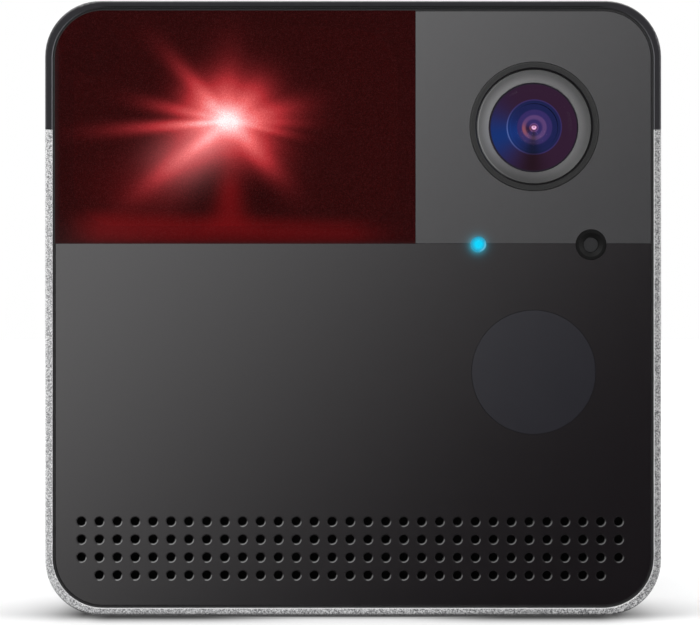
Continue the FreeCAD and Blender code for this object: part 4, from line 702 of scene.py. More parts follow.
def turn_round(tree, across, up):
    """Angle round the lens axis as a share of a turn, from 0 at the left, clockwise over the top."""
    angle = calc(tree, "ARCTAN2", up, times(tree, across, -1.0))
    turn = over(tree, angle, 2 * math.pi)
    return calc(tree, "FRACT", plus(tree, turn, 1.0))


def facing_way(tree, turn, centre, narrow):
    """How far a place on a glass lies towards one direction, from 1 there down to 0 on the far side."""
    off = calc(tree, "COSINE", times(tree, minus(tree, turn, centre), 2 * math.pi))
    return calc(tree, "EXPONENT", times(tree, minus(tree, off, 1.0), narrow))


def coating_reflection(tree, turn, colour, light):
    """Painted reflection in one coated glass: its own colour, painted light from the left and painted
    darkening at the foot.
    """
    lit = blend_colours(tree, facing_way(tree, turn, LEFT_TURN, 5.5), srgb(*colour), srgb(*light))
    return blend_colours(tree, facing_way(tree, turn, FOOT_TURN, 17.0), lit, FOOT_DARKENING, "MULTIPLY")


def layer(tree, across, up, colour, paint, inner, outer, edge, x=0.0, z=0.0):
    """A ring of paint over a colour, with its centre x and z away from the lens axis."""
    out = distance(tree, minus(tree, across, x), minus(tree, up, z))
    band = use(tree, BAND, Distance=out, Inner=inner, Outer=outer, Edge=edge)
    return blend_colours(tree, band["Mask"], colour, paint)


def coated_front_glass():
    """Clear dome whose coated face shows painted reflections as glow: blue on the left and maroon on the
    right, round a pale ring.
    """
    material, tree, shader = blank("coated front glass")
    across, up = across_and_up(tree, middle("front_lens") + Vector((0.06 * MM, 0, 0)))
    out = distance(tree, across, up)
    turn = turn_round(tree, across, up)
    outer = coating_reflection(tree, turn, MAROON, BLUE_LIGHT)
    pale = coating_reflection(tree, turn, VIOLET, PALE_LIGHT)
    inner = coating_reflection(tree, turn, NAVY, BLUE_LIGHT)
    colour = layer(tree, across, up, outer, inner, -9.0, 3.72, 0.04)
    colour = layer(tree, across, up, colour, pale, 3.72, 3.88, 0.05)
    colour = layer(tree, across, up, colour, srgb(40, 36, 46), 6.06, 9.0, 0.12)
    ring = use(tree, BAND, Distance=out, Inner=3.32, Outer=6.5, Edge=0.06)
    parts = place_axes(tree)
    dome = times(tree, times(tree, out, out), 1.5 / 6.2 ** 2 * MM)
    behind = minus(tree, parts[1], plus(tree, dome, front_of("front_lens")))
    face = between(tree, behind, 0.2 * MM, 0.35 * MM, 1.0, 0.0)
    share = times(tree, ring["Mask"], face)
    fill(tree, shader.inputs["Emission Color"], blend_colours(tree, share, (0, 0, 0, 1), colour))
    settings(shader, Emission_Strength=1.0)
    tint = blend_colours(tree, ring["Mask"], (0.92, 0.92, 1.0, 1), (0.02, 0.02, 0.03, 1))
    fill(tree, shader.inputs["Base Color"], tint)
    settings(shader, Transmission_Weight=1.0, Roughness=0.01, IOR=1.06)
    return material


def coated_inner_glass():
    """Inner glasses, with painted reflections as glow: nested rings of blue, purple and warm red round a
    painted pink glint.
    """
    material, tree, shader = blank("coated inner glass")
    across, up = across_and_up(tree, middle("inner_lenses") + Vector((0.20, 0, 0.10)) * MM)
    turn = turn_round(tree, across, up)
    blue = coating_reflection(tree, turn, NAVY, BLUE_LIGHT)
    purple = coating_reflection(tree, turn, VIOLET, VIOLET)
    warm = coating_reflection(tree, turn, MAUVE, WARM_LIGHT)
    hollow = coating_reflection(tree, turn, VIOLET, MAROON)
    thin = coating_reflection(tree, turn, LILAC, WARM_LIGHT)
    colour = layer(tree, across, up, blue, purple, -9.0, 2.48, 0.10, 0.12, 0.08)
    colour = layer(tree, across, up, colour, warm, -9.0, 1.74, 0.10, 0.06, 0.04)
    colour = layer(tree, across, up, colour, hollow, -9.0, 1.20, 0.18)
    colour = layer(tree, across, up, colour, thin, 0.50, 0.63, 0.05)
    colour = layer(tree, across, up, colour, srgb(92, 46, 82), -9.0, 0.46, 0.04)
    glint_colour = layer(tree, across, up, colour, srgb(240, 184, 218), 0.10, 0.34, 0.05)
    colour = blend_colours(tree, between(tree, up, 0.10, 0.24, 1.0, 0.25), colour, glint_colour)
    fill(tree, shader.inputs["Emission Color"], colour)
    settings(shader, Emission_Strength=1.05, Base_Color=(0.002, 0.002, 0.006, 1))
    fill(tree, shader.inputs["Roughness"], between(tree, noise(tree, 800.0), 0.3, 0.7, 0.05, 0.1))
    settings(shader, Specular_IOR_Level=0.05)
    return material


def ring_finish(name, stops, roughness, lean, dip=0.0, arc=0.0):
    """Turned ring with painted shading by its distance to the lens axis: a painted highlight towards the
    upper left, painted shade at the foot (dip) and a painted highlight arc on the left outer edge (arc).
    """
    material, tree, shader = blank(name)
    across, up = across_and_up(tree, middle("front_lens"))
    out = distance(tree, across, up)
    low, high = stops[0][0], stops[-1][0]
    share = over(tree, minus(tree, out, low), high - low, clamp=True)
    shade = shades(tree, share, [((place - low) / (high - low), (v, v, v, 1)) for place, v in stops])
    slope = minus(tree, times(tree, up, 0.85), across)
    slope = times(tree, over(tree, slope, out), lean)
    lower = plus(tree, times(tree, across, 0.34), times(tree, up, 0.94))
    lower = calc(tree, "POWER", over(tree, lower, times(tree, out, -1.0), clamp=True), 3.0)
    slope = minus(tree, slope, times(tree, lower, dip))
    scaled = add(tree, "VectorMath", operation="SCALE")
    fill(tree, scaled.inputs[0], shade)
    fill(tree, scaled.inputs["Scale"], plus(tree, 1.0, slope))
    leftwards = over(tree, across, times(tree, out, -1.0), clamp=True)
    band = use(tree, BAND, Distance=out, Inner=7.78, Outer=8.12, Edge=0.06)
    lit = times(tree, times(tree, leftwards, leftwards), times(tree, band["Mask"], arc))
    colour = blend_colours(tree, lit, scaled.outputs[0], (0.2, 0.2, 0.2, 1))
    skin = use(tree, SKIN, Colour=colour, Roughness=roughness, Grain=4600.0, Depth=0.000004, Mottle=0.1)
    wear(tree, shader, skin)
    return material


def clear_part(name, colour, roughness=0.05, ior=1.49):
    """Clear or smoky moulding."""
    material, tree, shader = blank(name)
    tint = blend_colours(tree, noise(tree, 400.0), colour, tuple(0.85 * c for c in colour[:3]) + (1,))
    fill(tree, shader.inputs["Base Color"], tint)
    fill(
        tree, shader.inputs["Roughness"],
        between(tree, noise(tree, 1800.0), 0.3, 0.7, roughness, roughness + 0.05),
    )
    settings(shader, Transmission_Weight=1.0, IOR=ior)
    return material


def circuit_board(name, mask, scale):
    material, tree, shader = blank(name)
    tracks = use(tree, TRACKS, Scale=scale, Mask_colour=mask)
    fill(tree, shader.inputs["Base Color"], tracks["Colour"])
    fill(tree, shader.inputs["Metallic"], tracks["Metal"])
    bump = add(tree, "Bump", {"Height": tracks["Height"], "Distance": 0.00003, "Strength": 0.6})
    fill(tree, shader.inputs["Normal"], bump.outputs[0])
    fill(tree, shader.inputs["Roughness"], between(tree, noise(tree, 500.0), 0.3, 0.7, 0.28, 0.42))
    return material


def two_tone(name, axis, place, low_colour, high_colour, roughness=0.4, metal=0.0, grain=2500.0):
    """Grained finish with one colour below a place along an axis and another above it."""
    material, tree, shader = blank(name)
    parts = place_axes(tree)
    side = calc(tree, "GREATER_THAN", parts[axis], place)
    colour = blend_colours(tree, side, low_colour, high_colour)
    skin = use(tree, SKIN, Colour=colour, Roughness=roughness, Grain=grain, Depth=0.000004, Mottle=0.12)
    wear(tree, shader, skin)
    settings(shader, Metallic=metal)
    return material


def striped(name, axis, pitch, low_colour, high_colour, roughness, metal=0.0, depth=0.00004):
    """Fine parallel ridges: a coil's wire, a ribbon's conductors or a lathe's marks."""
    material, tree, shader = blank(name)
    parts = place_axes(tree)
    wave = calc(tree, "SINE", times(tree, parts[axis], 2 * math.pi / pitch))
    level = between(tree, wave, -0.6, 0.6)
    fill(tree, shader.inputs["Base Color"], blend_colours(tree, level, low_colour, high_colour))
    bump = add(tree, "Bump", {"Height": level, "Distance": depth, "Strength": 0.8})
    fill(tree, shader.inputs["Normal"], bump.outputs[0])
    fill(
        tree, shader.inputs["Roughness"],
        between(tree, noise(tree, 900.0), 0.3, 0.7, roughness, roughness + 0.1),
    )
    settings(shader, Metallic=metal)
    return material


def sensor_chip():
    """Image sensor: a ceramic frame round a dark window with a faint green and violet sheen."""
    material, tree, shader = blank("sensor chip")
    across, up = across_and_up(tree, middle("image_sensor"))
    square = calc(tree, "MAXIMUM", calc(tree, "ABSOLUTE", across), calc(tree, "ABSOLUTE", up))
    window = between(tree, square, 2.35, 2.5, 1.0, 0.0)
    sheen = shades(tree, noise(tree, 500.0), [(0.3, (0.02, 0.05, 0.03, 1)), (0.7, (0.05, 0.02, 0.07, 1))])
    fill(tree, shader.inputs["Base Color"], blend_colours(tree, window, (0.30, 0.27, 0.20, 1), sheen))
    fill(tree, shader.inputs["Roughness"], between(tree, window, 0.0, 1.0, 0.6, 0.08))
    return material


# Pieces that only the picture needs


def clear_selection():
    if bpy.context.object and bpy.context.object.mode != "OBJECT":
        bpy.ops.object.mode_set(mode="OBJECT")
    bpy.ops.object.select_all(action="DESELECT")


def hold(piece):
    """Makes a piece the only one selected."""
    clear_selection()
    piece.select_set(True)
    bpy.context.view_layer.objects.active = piece


def pick_faces(piece, wanted):
    """Edit mode with only the wanted faces selected."""
    hold(piece)
    for part in (piece.data.vertices, piece.data.edges, piece.data.polygons):
        part.foreach_set("select", [False] * len(part))
    for face in piece.data.polygons:
        face.select = wanted(face)
    bpy.ops.object.mode_set(mode="EDIT")
    bpy.ops.mesh.select_mode(type="FACE")


def join(pieces):
    hold(pieces[0])
    for piece in pieces[1:]:
        piece.select_set(True)
    bpy.ops.object.join()
    return pieces[0]


def settle(piece, name, body, material, smooth=30):
    """Closes and names a piece, bakes its place into its mesh, dresses it and puts it on its body."""
    hold(piece)
    bpy.ops.object.transform_apply(location=True, rotation=True, scale=True)
    bpy.ops.object.mode_set(mode="EDIT")
    bpy.ops.mesh.select_all(action="SELECT")
    bpy.ops.mesh.remove_doubles(threshold=0.000001)
    bpy.ops.mesh.normals_make_consistent(inside=False)
    bpy.ops.object.mode_set(mode="OBJECT")
    bpy.ops.object.shade_smooth_by_angle(angle=math.radians(smooth))
    piece.name = name
    piece.data.name = name
    piece.data.materials.clear()
    piece.data.materials.append(material)
    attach(piece, body)
    return piece


def apply_modifiers(piece):
    hold(piece)
    for modifier in list(piece.modifiers):
        bpy.ops.object.modifier_apply(modifier=modifier.name)


def copy_to(piece, offset):
    """A copy with its own mesh, moved by an offset."""
    hold(piece)
    bpy.ops.object.duplicate(linked=False)
    copied = bpy.context.object
    copied.location = piece.location + Vector(offset)
    return copied


def block(low, high, soften):
    """Box between two corners, with its edges softened."""
    low, high = Vector(low), Vector(high)
    bpy.ops.mesh.primitive_cube_add(size=1.0, location=(low + high) / 2)
    piece = bpy.context.object
    piece.scale = high - low
    bpy.ops.object.transform_apply(location=True, rotation=True, scale=True)
    bpy.ops.object.mode_set(mode="EDIT")
    bpy.ops.mesh.select_all(action="SELECT")
    bpy.ops.mesh.bevel(offset=soften, segments=2, affect="EDGES")
    bpy.ops.object.mode_set(mode="OBJECT")
    return piece


def turned(profile, closed=False, segments=48):
    """Part turned about Z from (radius, height) points: solid, or a ring where closed."""
    radius, height = profile[0]
    bpy.ops.mesh.primitive_circle_add(
        vertices=segments, radius=radius, fill_type="NOTHING" if closed else "NGON", location=(0, 0, height)
    )
    piece = bpy.context.object
    bpy.ops.object.transform_apply(location=True, rotation=True, scale=True)
    bpy.ops.object.mode_set(mode="EDIT")
    bpy.ops.mesh.select_all(action="SELECT")
    for next_radius, next_height in profile[1:]:
        bpy.ops.mesh.extrude_region_move(TRANSFORM_OT_translate={"value": (0, 0, next_height - height)})
        k = next_radius / radius
        bpy.ops.transform.resize(value=(k, k, 1), center_override=(0, 0, next_height))
        radius, height = next_radius, next_height
    bpy.ops.object.mode_set(mode="OBJECT")
    return piece


# Electronics on the boards. A board's way is +1 where its parts stand on its rear face, -1 on its front


def chip(name, x, z, width, height, thick, board_y, way, pins, finish):
    """Leaded package: a body with a bevelled top and a pin mark, and bent legs down two sides."""
    lift = 0.1 * MM
    near, far = sorted((board_y + way * lift, board_y + way * (lift + thick)))
    body = block((x - width / 2, near, z - height / 2), (x + width / 2, far, z + height / 2), 0.08 * MM)
    pick_faces(body, lambda face: face.normal.y * way > 0.9)
    bpy.ops.mesh.inset(thickness=0.25 * MM, depth=0.0)
    bpy.ops.mesh.inset(thickness=0.05 * MM, depth=-0.03 * MM)
    bpy.ops.object.mode_set(mode="OBJECT")
    mark = turned(
        [(0.28 * MM, 0.0), (0.28 * MM, 0.05 * MM), (0.2 * MM, 0.05 * MM), (0.18 * MM, 0.02 * MM)],
        segments=20,
    )
    mark.rotation_euler = (-way * math.pi / 2, 0, 0)
    mark.location = (
        x - width / 2 + 0.8 * MM, board_y + way * (lift + thick - 0.045 * MM), z + height / 2 - 0.8 * MM,
    )
    join([body, mark])
    settle(body, name, "case", finish["package"])
    pitch = (height - 0.6 * MM) / (pins - 1)
    legs_piece = None
    for side in (-1, 1):
        leg = bent_leg(x + side * width / 2, z - height / 2 + 0.3 * MM, board_y, way, side, lift + thick / 2)
        row = [leg] + [copy_to(leg, (0, 0, k * pitch)) for k in range(1, pins)]
        joined = join(row)
        legs_piece = joined if legs_piece is None else join([legs_piece, joined])
    return settle(legs_piece, name + "_legs", "case", finish["tin"])


def bent_leg(x, z, board_y, way, side, height):
    """Gull wing: out of the body, down to the board, and out along it."""
    wide, thick = 0.22 * MM, 0.1 * MM
    bpy.ops.mesh.primitive_plane_add(
        size=1.0, location=(x - side * 0.1 * MM, board_y + way * height, z), rotation=(0, math.pi / 2, 0)
    )
    leg = bpy.context.object
    leg.scale = (wide, thick, 1)
    bpy.ops.object.transform_apply(location=True, rotation=True, scale=True)
    bpy.ops.object.mode_set(mode="EDIT")
    bpy.ops.mesh.select_all(action="SELECT")
    drop = -way * (height - thick * 0.6)
    for out, across in ((0.3, 0.0), (0.2, drop), (0.35, 0.0)):
        bpy.ops.mesh.extrude_region_move(TRANSFORM_OT_translate={"value": (side * out * MM, across, 0)})
    bpy.ops.object.mode_set(mode="OBJECT")
    return leg


def can_capacitor(name, x, z, radius, tall, board_y, way, finish):
    """Aluminium can with a crimped groove and a dished top, on a square base."""
    r, t = radius, tall
    can = turned([
        (0.93 * r, 0.6 * MM), (r, 0.75 * MM), (r, 1.3 * MM), (0.92 * r, 1.5 * MM), (r, 1.7 * MM),
        (r, t - 0.2 * MM),
        (0.94 * r, t), (0.82 * r, t), (0.78 * r, t - 0.1 * MM),
    ])
    can.rotation_euler = (-way * math.pi / 2, 0, 0)
    can.location = (x, board_y, z)
    settle(can, name, "case", finish["can"])
    near, far = sorted((board_y + way * 0.02 * MM, board_y + way * 0.7 * MM))
    base = block((x - r, near, z - r), (x + r, far, z + r), 0.15 * MM)
    return settle(base, name + "_base", "case", finish["package"])


def shielded_coil(name, x, z, width, tall, board_y, way, finish):
    """Square ferrite coil with a sunk round window."""
    near, far = sorted((board_y + way * 0.02 * MM, board_y + way * tall))
    body = block((x - width / 2, near, z - width / 2), (x + width / 2, far, z + width / 2), 0.3 * MM)
    lid = turned(
        [(0.4 * width, 0.0), (0.4 * width, 0.08 * MM), (0.34 * width, 0.08 * MM), (0.32 * width, 0.03 * MM)]
    )
    lid.rotation_euler = (-way * math.pi / 2, 0, 0)
    lid.location = (x, board_y + way * (tall - 0.06 * MM), z)
    join([body, lid])
    settle(body, name, "case", finish["ferrite"])


def crystal_can(name, x, z, board_y, way, finish):
    """Low metal can with a seam rim."""
    near, far = sorted((board_y + way * 0.02 * MM, board_y + way * 0.9 * MM))
    can = block((x - 1.6 * MM, near, z - 1.25 * MM), (x + 1.6 * MM, far, z + 1.25 * MM), 0.2 * MM)
    pick_faces(can, lambda face: face.normal.y * way > 0.9)
    bpy.ops.mesh.inset(thickness=0.2 * MM, depth=0.0)
    bpy.ops.mesh.inset(thickness=0.12 * MM, depth=0.12 * MM)
    bpy.ops.object.mode_set(mode="OBJECT")
    settle(can, name, "case", finish["can"])


def small_parts(name, places, board_y, way, finish):
    """Resistors and small capacitors: dark or tan middles between two solder ends."""
    middles, ends = [], []
    for x, z, turn in places:
        long, wide = (1.0, 0.5) if turn else (0.5, 1.0)
        near, far = sorted((board_y + way * 0.02 * MM, board_y + way * 0.42 * MM))
        half = Vector((long / 2 * MM, 0, wide / 2 * MM))
        centre = Vector((x, 0, z))
        low, high = centre - half * 0.7, centre + half * 0.7
        middles.append(block((low.x, near, low.z), (high.x, far, high.z), 0.03 * MM))
        shift = Vector((long / 2 * MM, 0, 0)) if turn else Vector((0, 0, wide / 2 * MM))
        for side in (-1, 1):
            at = centre + shift * side * 0.85
            reach = Vector((0.14, 0, 0.25) if turn else (0.25, 0, 0.14)) * MM
            near, far = sorted((board_y + way * 0.01 * MM, board_y + way * 0.45 * MM))
            ends.append(
                block(
                    (at.x - reach.x, near, at.z - reach.z), (at.x + reach.x, far, at.z + reach.z), 0.04 * MM,
                )
            )
    settle(join(middles), name, "case", finish["package"])
    settle(join(ends), name + "_ends", "case", finish["tin"])


def rows_of(x, z, columns, rows, pitch_x, pitch_z, turn):
    return [(x + i * pitch_x, z + k * pitch_z, turn) for i in range(columns) for k in range(rows)]


def populate_boards():
    """Parts on the circuit boards, most of them behind the rear vents."""
    finish = {
        "package": grained("chip package", (0.013, 0.013, 0.014, 1), 0.55, 2400.0, 0.000008, 0.2),
        "tin": grained("solder tin", (0.68, 0.68, 0.66, 1), 0.3, 3000.0, 0.000004, 0.1, 1.0),
        "can": striped(
            "rolled can", 1, 0.4 * MM, (0.62, 0.62, 0.63, 1), (0.74, 0.74, 0.75, 1), 0.3, 1.0, 0.000006,
        ),
        "ferrite": grained("ferrite", (0.035, 0.035, 0.037, 1), 0.7, 1400.0, 0.00002, 0.25),
    }
    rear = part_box("switch_body")[0].y
    for name, x, z, width, height, thick, pins in (
        ("memory_chip", -13, 64, 9, 7.5, 1.0, 12), ("radio_chip", 8.5, 65, 6, 6, 0.9, 8),
        ("motor_driver", 19, 58, 5, 5, 0.9, 7), ("sound_chip", -13, 50, 5, 4, 0.9, 6),
        ("power_chip", -12, 28, 5, 4, 0.9, 4),
    ):
        chip(name, x * MM, z * MM, width * MM, height * MM, thick * MM, rear, 1, pins, finish)
    for name, x, z, radius, tall in (
        ("reservoir_capacitor", 20, 67, 2.4, 5.0), ("motor_capacitor", -22, 58, 2.0, 4.6),
        ("inlet_capacitor", -20, 21, 2.4, 5.0),
    ):
        can_capacitor(name, x * MM, z * MM, radius * MM, tall * MM, rear, 1, finish)
    for name, x, z, width, tall in (("supply_coil", 1, 57.5, 4.0, 2.0), ("inlet_coil", -12, 36, 5.0, 2.6)):
        shielded_coil(name, x * MM, z * MM, width * MM, tall * MM, rear, 1, finish)
    crystal_can("clock_crystal", -3 * MM, 66.5 * MM, rear, 1, finish)
    places = rows_of(-20 * MM, 68.5 * MM, 2, 2, 1.8 * MM, 1.2 * MM, True)
    places += rows_of(-6 * MM, 61.5 * MM, 5, 2, 1.6 * MM, 1.5 * MM, False)
    places += rows_of(8 * MM, 58.0 * MM, 3, 3, 1.8 * MM, 1.1 * MM, True)
    places += rows_of(-18 * MM, 44.0 * MM, 6, 2, 1.6 * MM, 1.5 * MM, False)
    small_parts("rear_small_parts", places, rear, 1, finish)
    front = rear - 1.6 * MM
    chip("light_driver", 10 * MM, 60 * MM, 4 * MM, 4 * MM, 0.8 * MM, front, -1, 5, finish)
    small_parts(
        "front_small_parts", rows_of(8 * MM, 52 * MM, 4, 2, 1.7 * MM, 1.5 * MM, False), front, -1, finish,
    )
    camera_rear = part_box("image_sensor")[1].y + 1.2 * MM
    chip("camera_supply", 31.5 * MM, 75.5 * MM, 2.6 * MM, 2.6 * MM, 0.7 * MM, camera_rear, 1, 3, finish)
    small_parts(
        "camera_small_parts", rows_of(17 * MM, 62 * MM, 1, 5, 1.6 * MM, 1.5 * MM, True), camera_rear, 1,
        finish,
    )


def threaded_insert():
    """Brass insert with a waist, bevelled mouth and a real helical thread in its bore."""
    low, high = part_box("tripod_insert")
    outer, crest, root = high.x, 2.55 * MM, 3.15 * MM
    pitch = 25.4 * MM / 20
    length = high.z - low.z
    body = turned([
        (root, low.z + 0.4 * MM), (root + 0.4 * MM, low.z), (outer - 0.15 * MM, low.z),
        (outer, low.z + 0.15 * MM),
        (outer, low.z + 0.4 * length), (outer - 0.5 * MM, low.z + 0.4 * length + 0.1 * MM),
        (outer - 0.5 * MM, low.z + 0.6 * length - 0.1 * MM), (outer, low.z + 0.6 * length),
        (outer, high.z - 0.15 * MM), (outer - 0.15 * MM, high.z), (root, high.z), (root, low.z + 0.4 * MM),
    ], closed=True, segments=96)
    bpy.ops.mesh.primitive_circle_add(
        vertices=3, radius=1.0, fill_type="NOTHING", rotation=(math.pi / 2, 0, 0),
    )
    ridge = bpy.context.object
    bpy.ops.object.transform_apply(location=True, rotation=True, scale=True)
    start = low.z + 0.9 * MM
    corners = (
        (root + 0.05 * MM, start - 0.45 * pitch), (root + 0.05 * MM, start + 0.45 * pitch), (crest, start),
    )
    for vertex, (radius, height) in zip(ridge.data.vertices, corners):
        vertex.co = (radius, 0, height)
    screw = ridge.modifiers.new("thread", "SCREW")
    screw.axis = "Z"
    screw.screw_offset = pitch
    screw.iterations = int((length - 1.6 * MM) / pitch)
    screw.steps = screw.render_steps = 48
    screw.use_merge_vertices = False
    apply_modifiers(ridge)
    bpy.ops.object.mode_set(mode="EDIT")
    bpy.ops.mesh.select_mode(type="EDGE")
    bpy.ops.mesh.select_all(action="DESELECT")
    bpy.ops.mesh.select_non_manifold()
    bpy.ops.mesh.fill_holes(sides=0)
    bpy.ops.object.mode_set(mode="OBJECT")
    join([body, ridge])
    brass = grained("threaded brass", (0.80, 0.58, 0.26, 1), 0.25, 4000.0, 0.000004, 0.08, 1.0)
    settle(body, "threaded_insert", "case", brass)
    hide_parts("tripod_insert")


def rubber_roll():
    """Half-round rubber roll between the speaker's basket and its cone, with thickness."""
    low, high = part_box("speaker_surround")
    thick = 0.3 * MM
    roll = 0.85 * (high.y - low.y)
    centre = (low + high) / 2
    bend = (high.z - low.z) / 2 - roll
    straight = (high.x - low.x) / 2 - (high.z - low.z) / 2
    bpy.ops.mesh.primitive_circle_add(
        vertices=32, radius=roll - thick / 2, fill_type="NOTHING",
        location=(straight, high.y, centre.z + bend), rotation=(0, math.pi / 2, 0),
    )
    piece = bpy.context.object
    bpy.ops.object.transform_apply(location=True, rotation=True, scale=True)
    hold(piece)
    bpy.ops.object.mode_set(mode="EDIT")
    bpy.ops.mesh.select_all(action="SELECT")
    bpy.ops.mesh.bisect(plane_co=(straight, high.y, 0), plane_no=(0, 1, 0), clear_outer=True, use_fill=False)
    bpy.ops.mesh.select_all(action="SELECT")
    axis = (0, -1, 0)
    bpy.ops.mesh.spin(steps=32, angle=math.pi, center=(straight, high.y, centre.z), axis=axis)
    bpy.ops.mesh.extrude_region_move(TRANSFORM_OT_translate={"value": (-2 * straight, 0, 0)})
    bpy.ops.mesh.spin(steps=32, angle=math.pi, center=(-straight, high.y, centre.z), axis=axis)
    bpy.ops.mesh.extrude_region_move(TRANSFORM_OT_translate={"value": (2 * straight, 0, 0)})
    bpy.ops.mesh.select_all(action="SELECT")
    bpy.ops.mesh.remove_doubles(threshold=0.00001)
    bpy.ops.object.mode_set(mode="OBJECT")
    skin = piece.modifiers.new("thickness", "SOLIDIFY")
    skin.thickness = thick
    skin.offset = 0.0
    apply_modifiers(piece)
    rubber = grained("surround rubber", (0.02, 0.02, 0.02, 1), 0.7, 1600.0, 0.00001, 0.1)
    settle(piece, "rubber_roll", "case", rubber, smooth=50)
    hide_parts("speaker_surround")
    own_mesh(piece)


def grille_cloth():
    """Woven cloth stretched behind the grille, with a stitched-down hem."""
    low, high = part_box("speaker_mesh")
    centre = (low + high) / 2
    thick = 0.16 * MM
    bpy.ops.mesh.primitive_grid_add(
        x_subdivisions=160, y_subdivisions=24, size=1.0, location=(centre.x, high.y - 0.1 * MM, centre.z),
        rotation=(math.pi / 2, 0, 0),
    )
    piece = bpy.context.object
    piece.scale = (high.x - low.x, high.z - low.z, 1)
    bpy.ops.object.transform_apply(location=True, rotation=True, scale=True)
    edge_x, edge_z = (high.x - low.x) / 2 - 0.7 * MM, (high.z - low.z) / 2 - 0.7 * MM

    def in_hem(face):
        return abs(face.center.x - centre.x) > edge_x or abs(face.center.z - centre.z) > edge_z

    pick_faces(piece, in_hem)
    bpy.ops.transform.translate(value=(0, -0.06 * MM, 0))
    bpy.ops.object.mode_set(mode="OBJECT")
    skin = piece.modifiers.new("thickness", "SOLIDIFY")
    skin.thickness = thick
    skin.offset = 0.0
    apply_modifiers(piece)
    settle(piece, "grille_cloth", "case", speaker_cloth(), smooth=40)
    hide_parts("speaker_mesh")


def slot_bead():
    """Dark bead in the slot between the front panels and the case: a round-cornered loop with thickness."""
    low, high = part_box("front_panel")
    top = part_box("laser_window")[1].z
    slot_width, corner = 0.30 * MM, 6.9 * MM
    reach_x, reach_z = high.x + slot_width / 2 - corner, (top - low.z + slot_width) / 2 - corner
    bpy.ops.mesh.primitive_circle_add(
        vertices=96, radius=corner, fill_type="NOTHING", rotation=(math.pi / 2, math.pi / 96, 0),
        location=(0, low.y + 0.16 * MM, (top + low.z) / 2),
    )
    piece = bpy.context.object
    hold(piece)
    bpy.ops.object.transform_apply(location=True, rotation=True, scale=True)
    for x in (-1, 1):
        for z in (-1, 1):
            pick_corner(piece, x, z, (top + low.z) / 2)
            bpy.ops.transform.translate(value=(x * reach_x, 0, z * reach_z))
            bpy.ops.object.mode_set(mode="OBJECT")
    hold(piece)
    bpy.ops.object.mode_set(mode="EDIT")
    bpy.ops.mesh.select_mode(type="EDGE")
    bpy.ops.mesh.select_all(action="SELECT")
    bpy.ops.mesh.extrude_region_move(TRANSFORM_OT_translate={"value": (0, 1.3 * MM, 0)})
    bpy.ops.object.mode_set(mode="OBJECT")
    skin = piece.modifiers.new("thickness", "SOLIDIFY")
    skin.thickness = slot_width - 0.04 * MM
    skin.offset = 0.0
    apply_modifiers(piece)
    finish = grained("slot bead", (0.021, 0.021, 0.022, 1), 0.6, 2400.0, 0.00001, 0.12)
    settle(piece, "slot_bead", "case", finish)


def pick_corner(piece, x, z, mid_z):
    """Edit mode with only the vertices on one side of the middle in x and in z selected."""
    hold(piece)
    for vertex in piece.data.vertices:
        vertex.select = vertex.co.x * x > 0 and (vertex.co.z - mid_z) * z > 0
    for edge in piece.data.edges:
        edge.select = all(piece.data.vertices[i].select for i in edge.vertices)
    bpy.ops.object.mode_set(mode="EDIT")
    bpy.ops.mesh.select_mode(type="VERT")


# Finish of each CAD node


